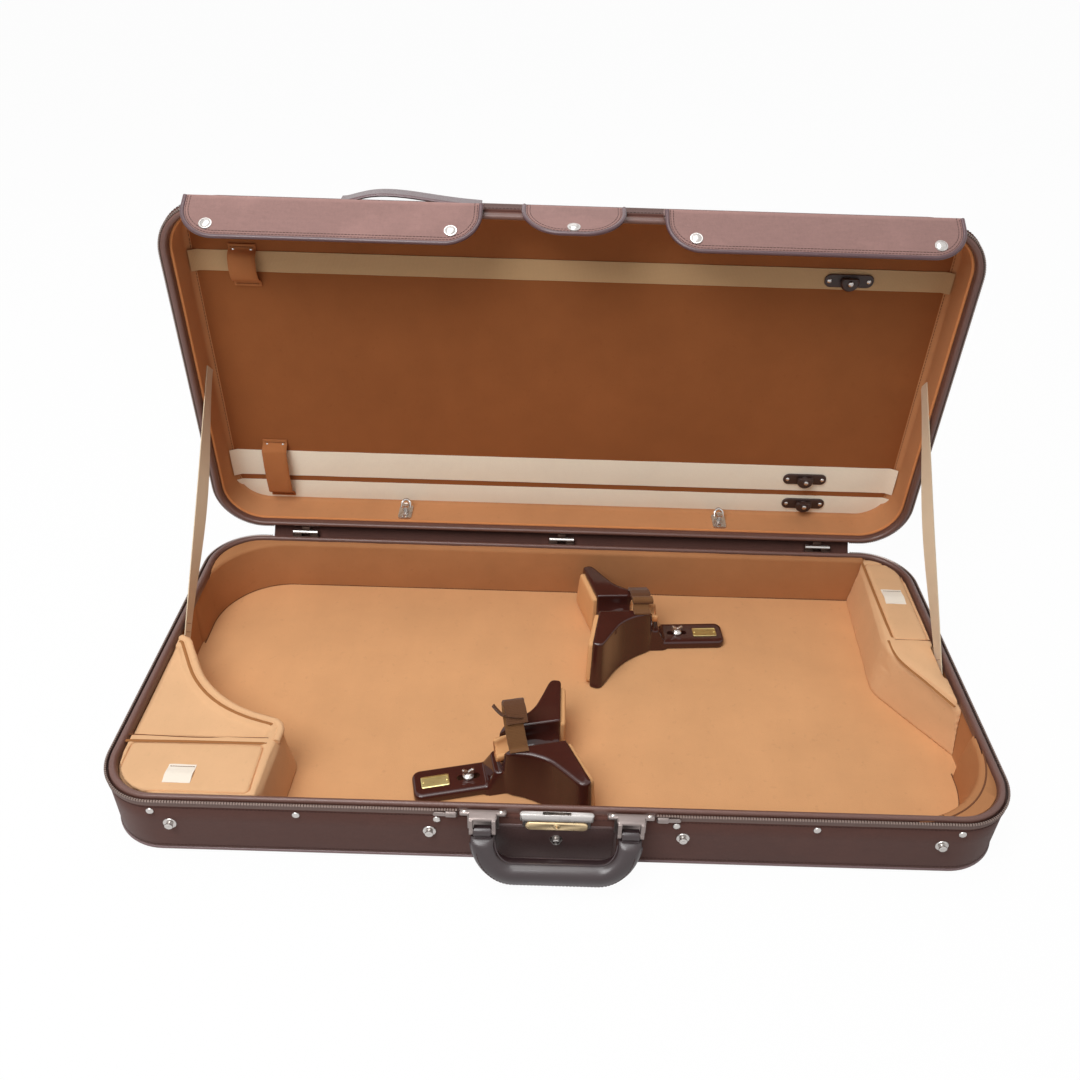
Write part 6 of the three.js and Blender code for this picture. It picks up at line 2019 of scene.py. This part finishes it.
@dataclass
class StayTape:
    """Taut tape that holds the lid open."""

    label: str
    side: int
    foot: tuple[float, float]
    head: tuple[float, float]
    x: float = 385.2
    width: float = 16

    def build(self) -> None:
        """Make the tape and its stitches."""
        foot, head = Vector((0, *self.foot)), Vector((0, *self.head))
        along = (head - foot).normalized()
        across = Vector((1, 0, 0)).cross(along).normalized()
        rings = []
        for k in range(49):
            share = k / 48
            twist = self.side * 0.4 * math.sin(math.pi * share) ** 2
            flat = across * math.cos(twist) + Vector((1, 0, 0)) * math.sin(twist)
            thin = flat.cross(along).normalized() * 0.5
            inward = 3.2 * math.sin(math.pi * share) ** 2 + 0.25
            middle = foot.lerp(head, share) + Vector((self.side * (self.x - inward), 0, 0))
            edge = [middle + flat * (self.width * (j / 6 - 0.5)) for j in range(7)]
            rings.append([*[p + thin for p in edge], *[p - thin for p in reversed(edge)]])
        made = Form().skin(rings).piece(f"{self.label}_tape")
        made.dress(TAPE_CREAM, "base", sharp=50).stand_for(f"stay_tape_{self.label}")
        rows = Form()
        for share in (0.03, 0.06):
            middle = foot.lerp(head, share) + Vector((self.side * (self.x - 0.9), 0, 0))
            rows.stitches([middle - across * 5.5, middle + across * 5.5], Stitch.TAPE)
        rows.piece(f"{self.label}_tape_stitches").dress(THREAD, "base")
        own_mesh(made.object)


@dataclass
class Studio:
    """Camera, floor and soft lights."""

    focal: float = 971.96
    centre: tuple[float, float] = (555.06, 517.04)
    image: float = 1080
    fill: float = 0.22
    floor_glow: float = 0.97
    eye: tuple[float, float, float] = (-11.37, -717.26, 741.26)
    rows: tuple[tuple[float, ...], ...] = (
        (0.99954247, -0.03013565, -0.00258517),
        (0.01519739, 0.57428428, -0.81851488),
        (0.0261511, 0.8181011, 0.57447951))

    def camera(self) -> None:
        """Put the camera where the photograph was taken."""
        data = bpy.data.cameras.new("photo_camera")
        data.lens = self.focal / self.image * data.sensor_width
        data.shift_x = -(self.centre[0] - self.image / 2) / self.image
        data.shift_y = (self.centre[1] - self.image / 2) / self.image
        data.clip_start = 0.02
        made = bpy.data.objects.new("photo_camera", data)
        bpy.context.scene.collection.objects.link(made)
        made.matrix_world = Matrix.Translation(Vector(self.eye) * MM) @ Matrix(self.rows).to_4x4()
        bpy.context.scene.camera = made

    def lamp(self, name: str, place: Sequence[float], aim: Sequence[float], size: float,
             power: float) -> None:
        """Hang one soft lamp.

        Args:
            name: Its name.
            place: Where, in metres.
            aim: What it looks at.
            size: Its side.
            power: Its power.
        """
        data = bpy.data.lights.new(name, "AREA")
        data.shape = "SQUARE"
        data.size = size
        data.energy = power
        made = bpy.data.objects.new(name, data)
        bpy.context.scene.collection.objects.link(made)
        look = Vector(aim) - Vector(place)
        made.matrix_world = Matrix.Translation(place) @ look.to_track_quat("-Z", "Y").to_matrix().to_4x4()

    def build(self) -> None:
        """Make the camera, the lights, the world and the floor."""
        scene = bpy.context.scene
        scene.view_settings.view_transform = "Standard"
        self.camera()
        self.lamp("high_front", (-0.7, -1.0, 1.92), (0, 0, 0.15), 1.2, 31)
        self.lamp("overhead", (-0.2, 0.0, 2.1), (0, 0, 0.1), 1.2, 15)
        self.lamp("back_fill", (-0.4, 1.8, 1.5), (0, 0, 0.1), 1.6, 4)
        scene.world = self.world()
        self.floor()

    def world(self) -> bpy.types.World:
        """Make the world: white where it is seen, and a soft fill on the case.

        Returns:
            The world.
        """
        bench = Bench(bpy.data.worlds.new("studio_world"))
        path = bench.node("ShaderNodeLightPath")
        camera, through, glossy = (
            Wire(bench, path.outputs[f"Is {kind} Ray"]) for kind in ("Camera", "Transmission", "Glossy"))
        values = {"Value": camera.most(through).most(glossy), "To Min": self.fill, "To Max": 1.0}
        strength = bench.node("ShaderNodeMapRange", None, values)
        values = {"Color": (1.0, 1.0, 1.0), "Strength": strength.outputs[0]}
        light = bench.node("ShaderNodeBackground", None, values)
        bench.node("ShaderNodeOutputWorld", None, {"Surface": light.outputs[0]})
        return bench.holder

    def floor(self) -> None:
        """Lay the pale floor, which keeps the case's shadow."""
        low, high = (-9000, -6000), (9000, 12000)
        corners = (low, (high[0], low[1]), high, (low[0], high[1]))
        form = Form([Vector((x, y, -0.5)) for x, y in corners], [[0, 1, 2, 3]])
        made = form.piece("studio_floor")
        bench = Bench(bpy.data.materials.new("studio_floor"))
        path = bench.node("ShaderNodeLightPath")
        matte = bench.node("ShaderNodeBsdfDiffuse", None, {"Color": (0.9, 0.9, 0.9)})
        glow = bench.node("ShaderNodeEmission", None, {"Color": (1.0, 1.0, 1.0), "Strength": 1.0})
        share = Wire(bench, path.outputs["Is Camera Ray"]) * self.floor_glow
        mixed = bench.node("ShaderNodeMixShader", None, {0: share, 1: matte.outputs[0], 2: glow.outputs[0]})
        bench.node("ShaderNodeOutputMaterial", None, {"Surface": mixed.outputs[0]})
        made.object.data.materials.append(bench.holder)


def main() -> None:
    """Build every sub-assembly in order."""
    logging.basicConfig(level=logging.INFO, format="%(name)s: %(message)s")
    Studio().build()
    BaseShell().build()
    RimRing("base", "base", BASE, 1, 69, ("base_rim",)).build()
    RimRing("lid", "lid", LID, -1, 70, ("lid_rim",)).build()
    for side, label in ((-1, "left"), (1, "right")):
        ZipHalf(f"base_zip_half_{label}", "base", BASE, side, 61, 1, -0.3, (f"base_zip_{label}",)).build()
        ZipHalf(f"lid_zip_half_{label}", "lid", LID, side, 77.4, -1, 1.6).build()
    WallPadding().build()
    edge = raised(fillet(LEFT_BLOCK_EDGE), 0)
    creases = ((Crease.SOFT, 0, beside(edge[10:], 6.8)), *LEFT_DIVIDERS)
    PocketBlock("left", "left_front_block", (-328, -160, 24, 20), creases, beside(edge, 0.9)).build()
    PocketBlock("right", "right_rear_block", (365, 111, 22, 24), RIGHT_CREASES).build()
    Cradle("rear", (43.5, 90), math.radians(4)).build()
    Cradle("front", (2, -94), math.radians(193), True).build()
    Handle().build()
    FrontFittings().build()
    LidShell().build()
    Hinges().build()
    LidLining().build()
    LidFittings().build()
    Flap("left", 48, 34, 30, ((-335, 33), (-112, 33))).build()
    Flap("middle", 49, 38, 10, ((0, 38),)).build()
    Flap("right", 48, 34, 30, ((335, 33), (112, 33))).build()
    StayTape("left", -1, (26, 50), (226, 262)).build()
    StayTape("right", 1, (0.5, 52), (229, 266)).build()
    bpy.context.view_layer.update()


if __name__ == "__main__":
    main()
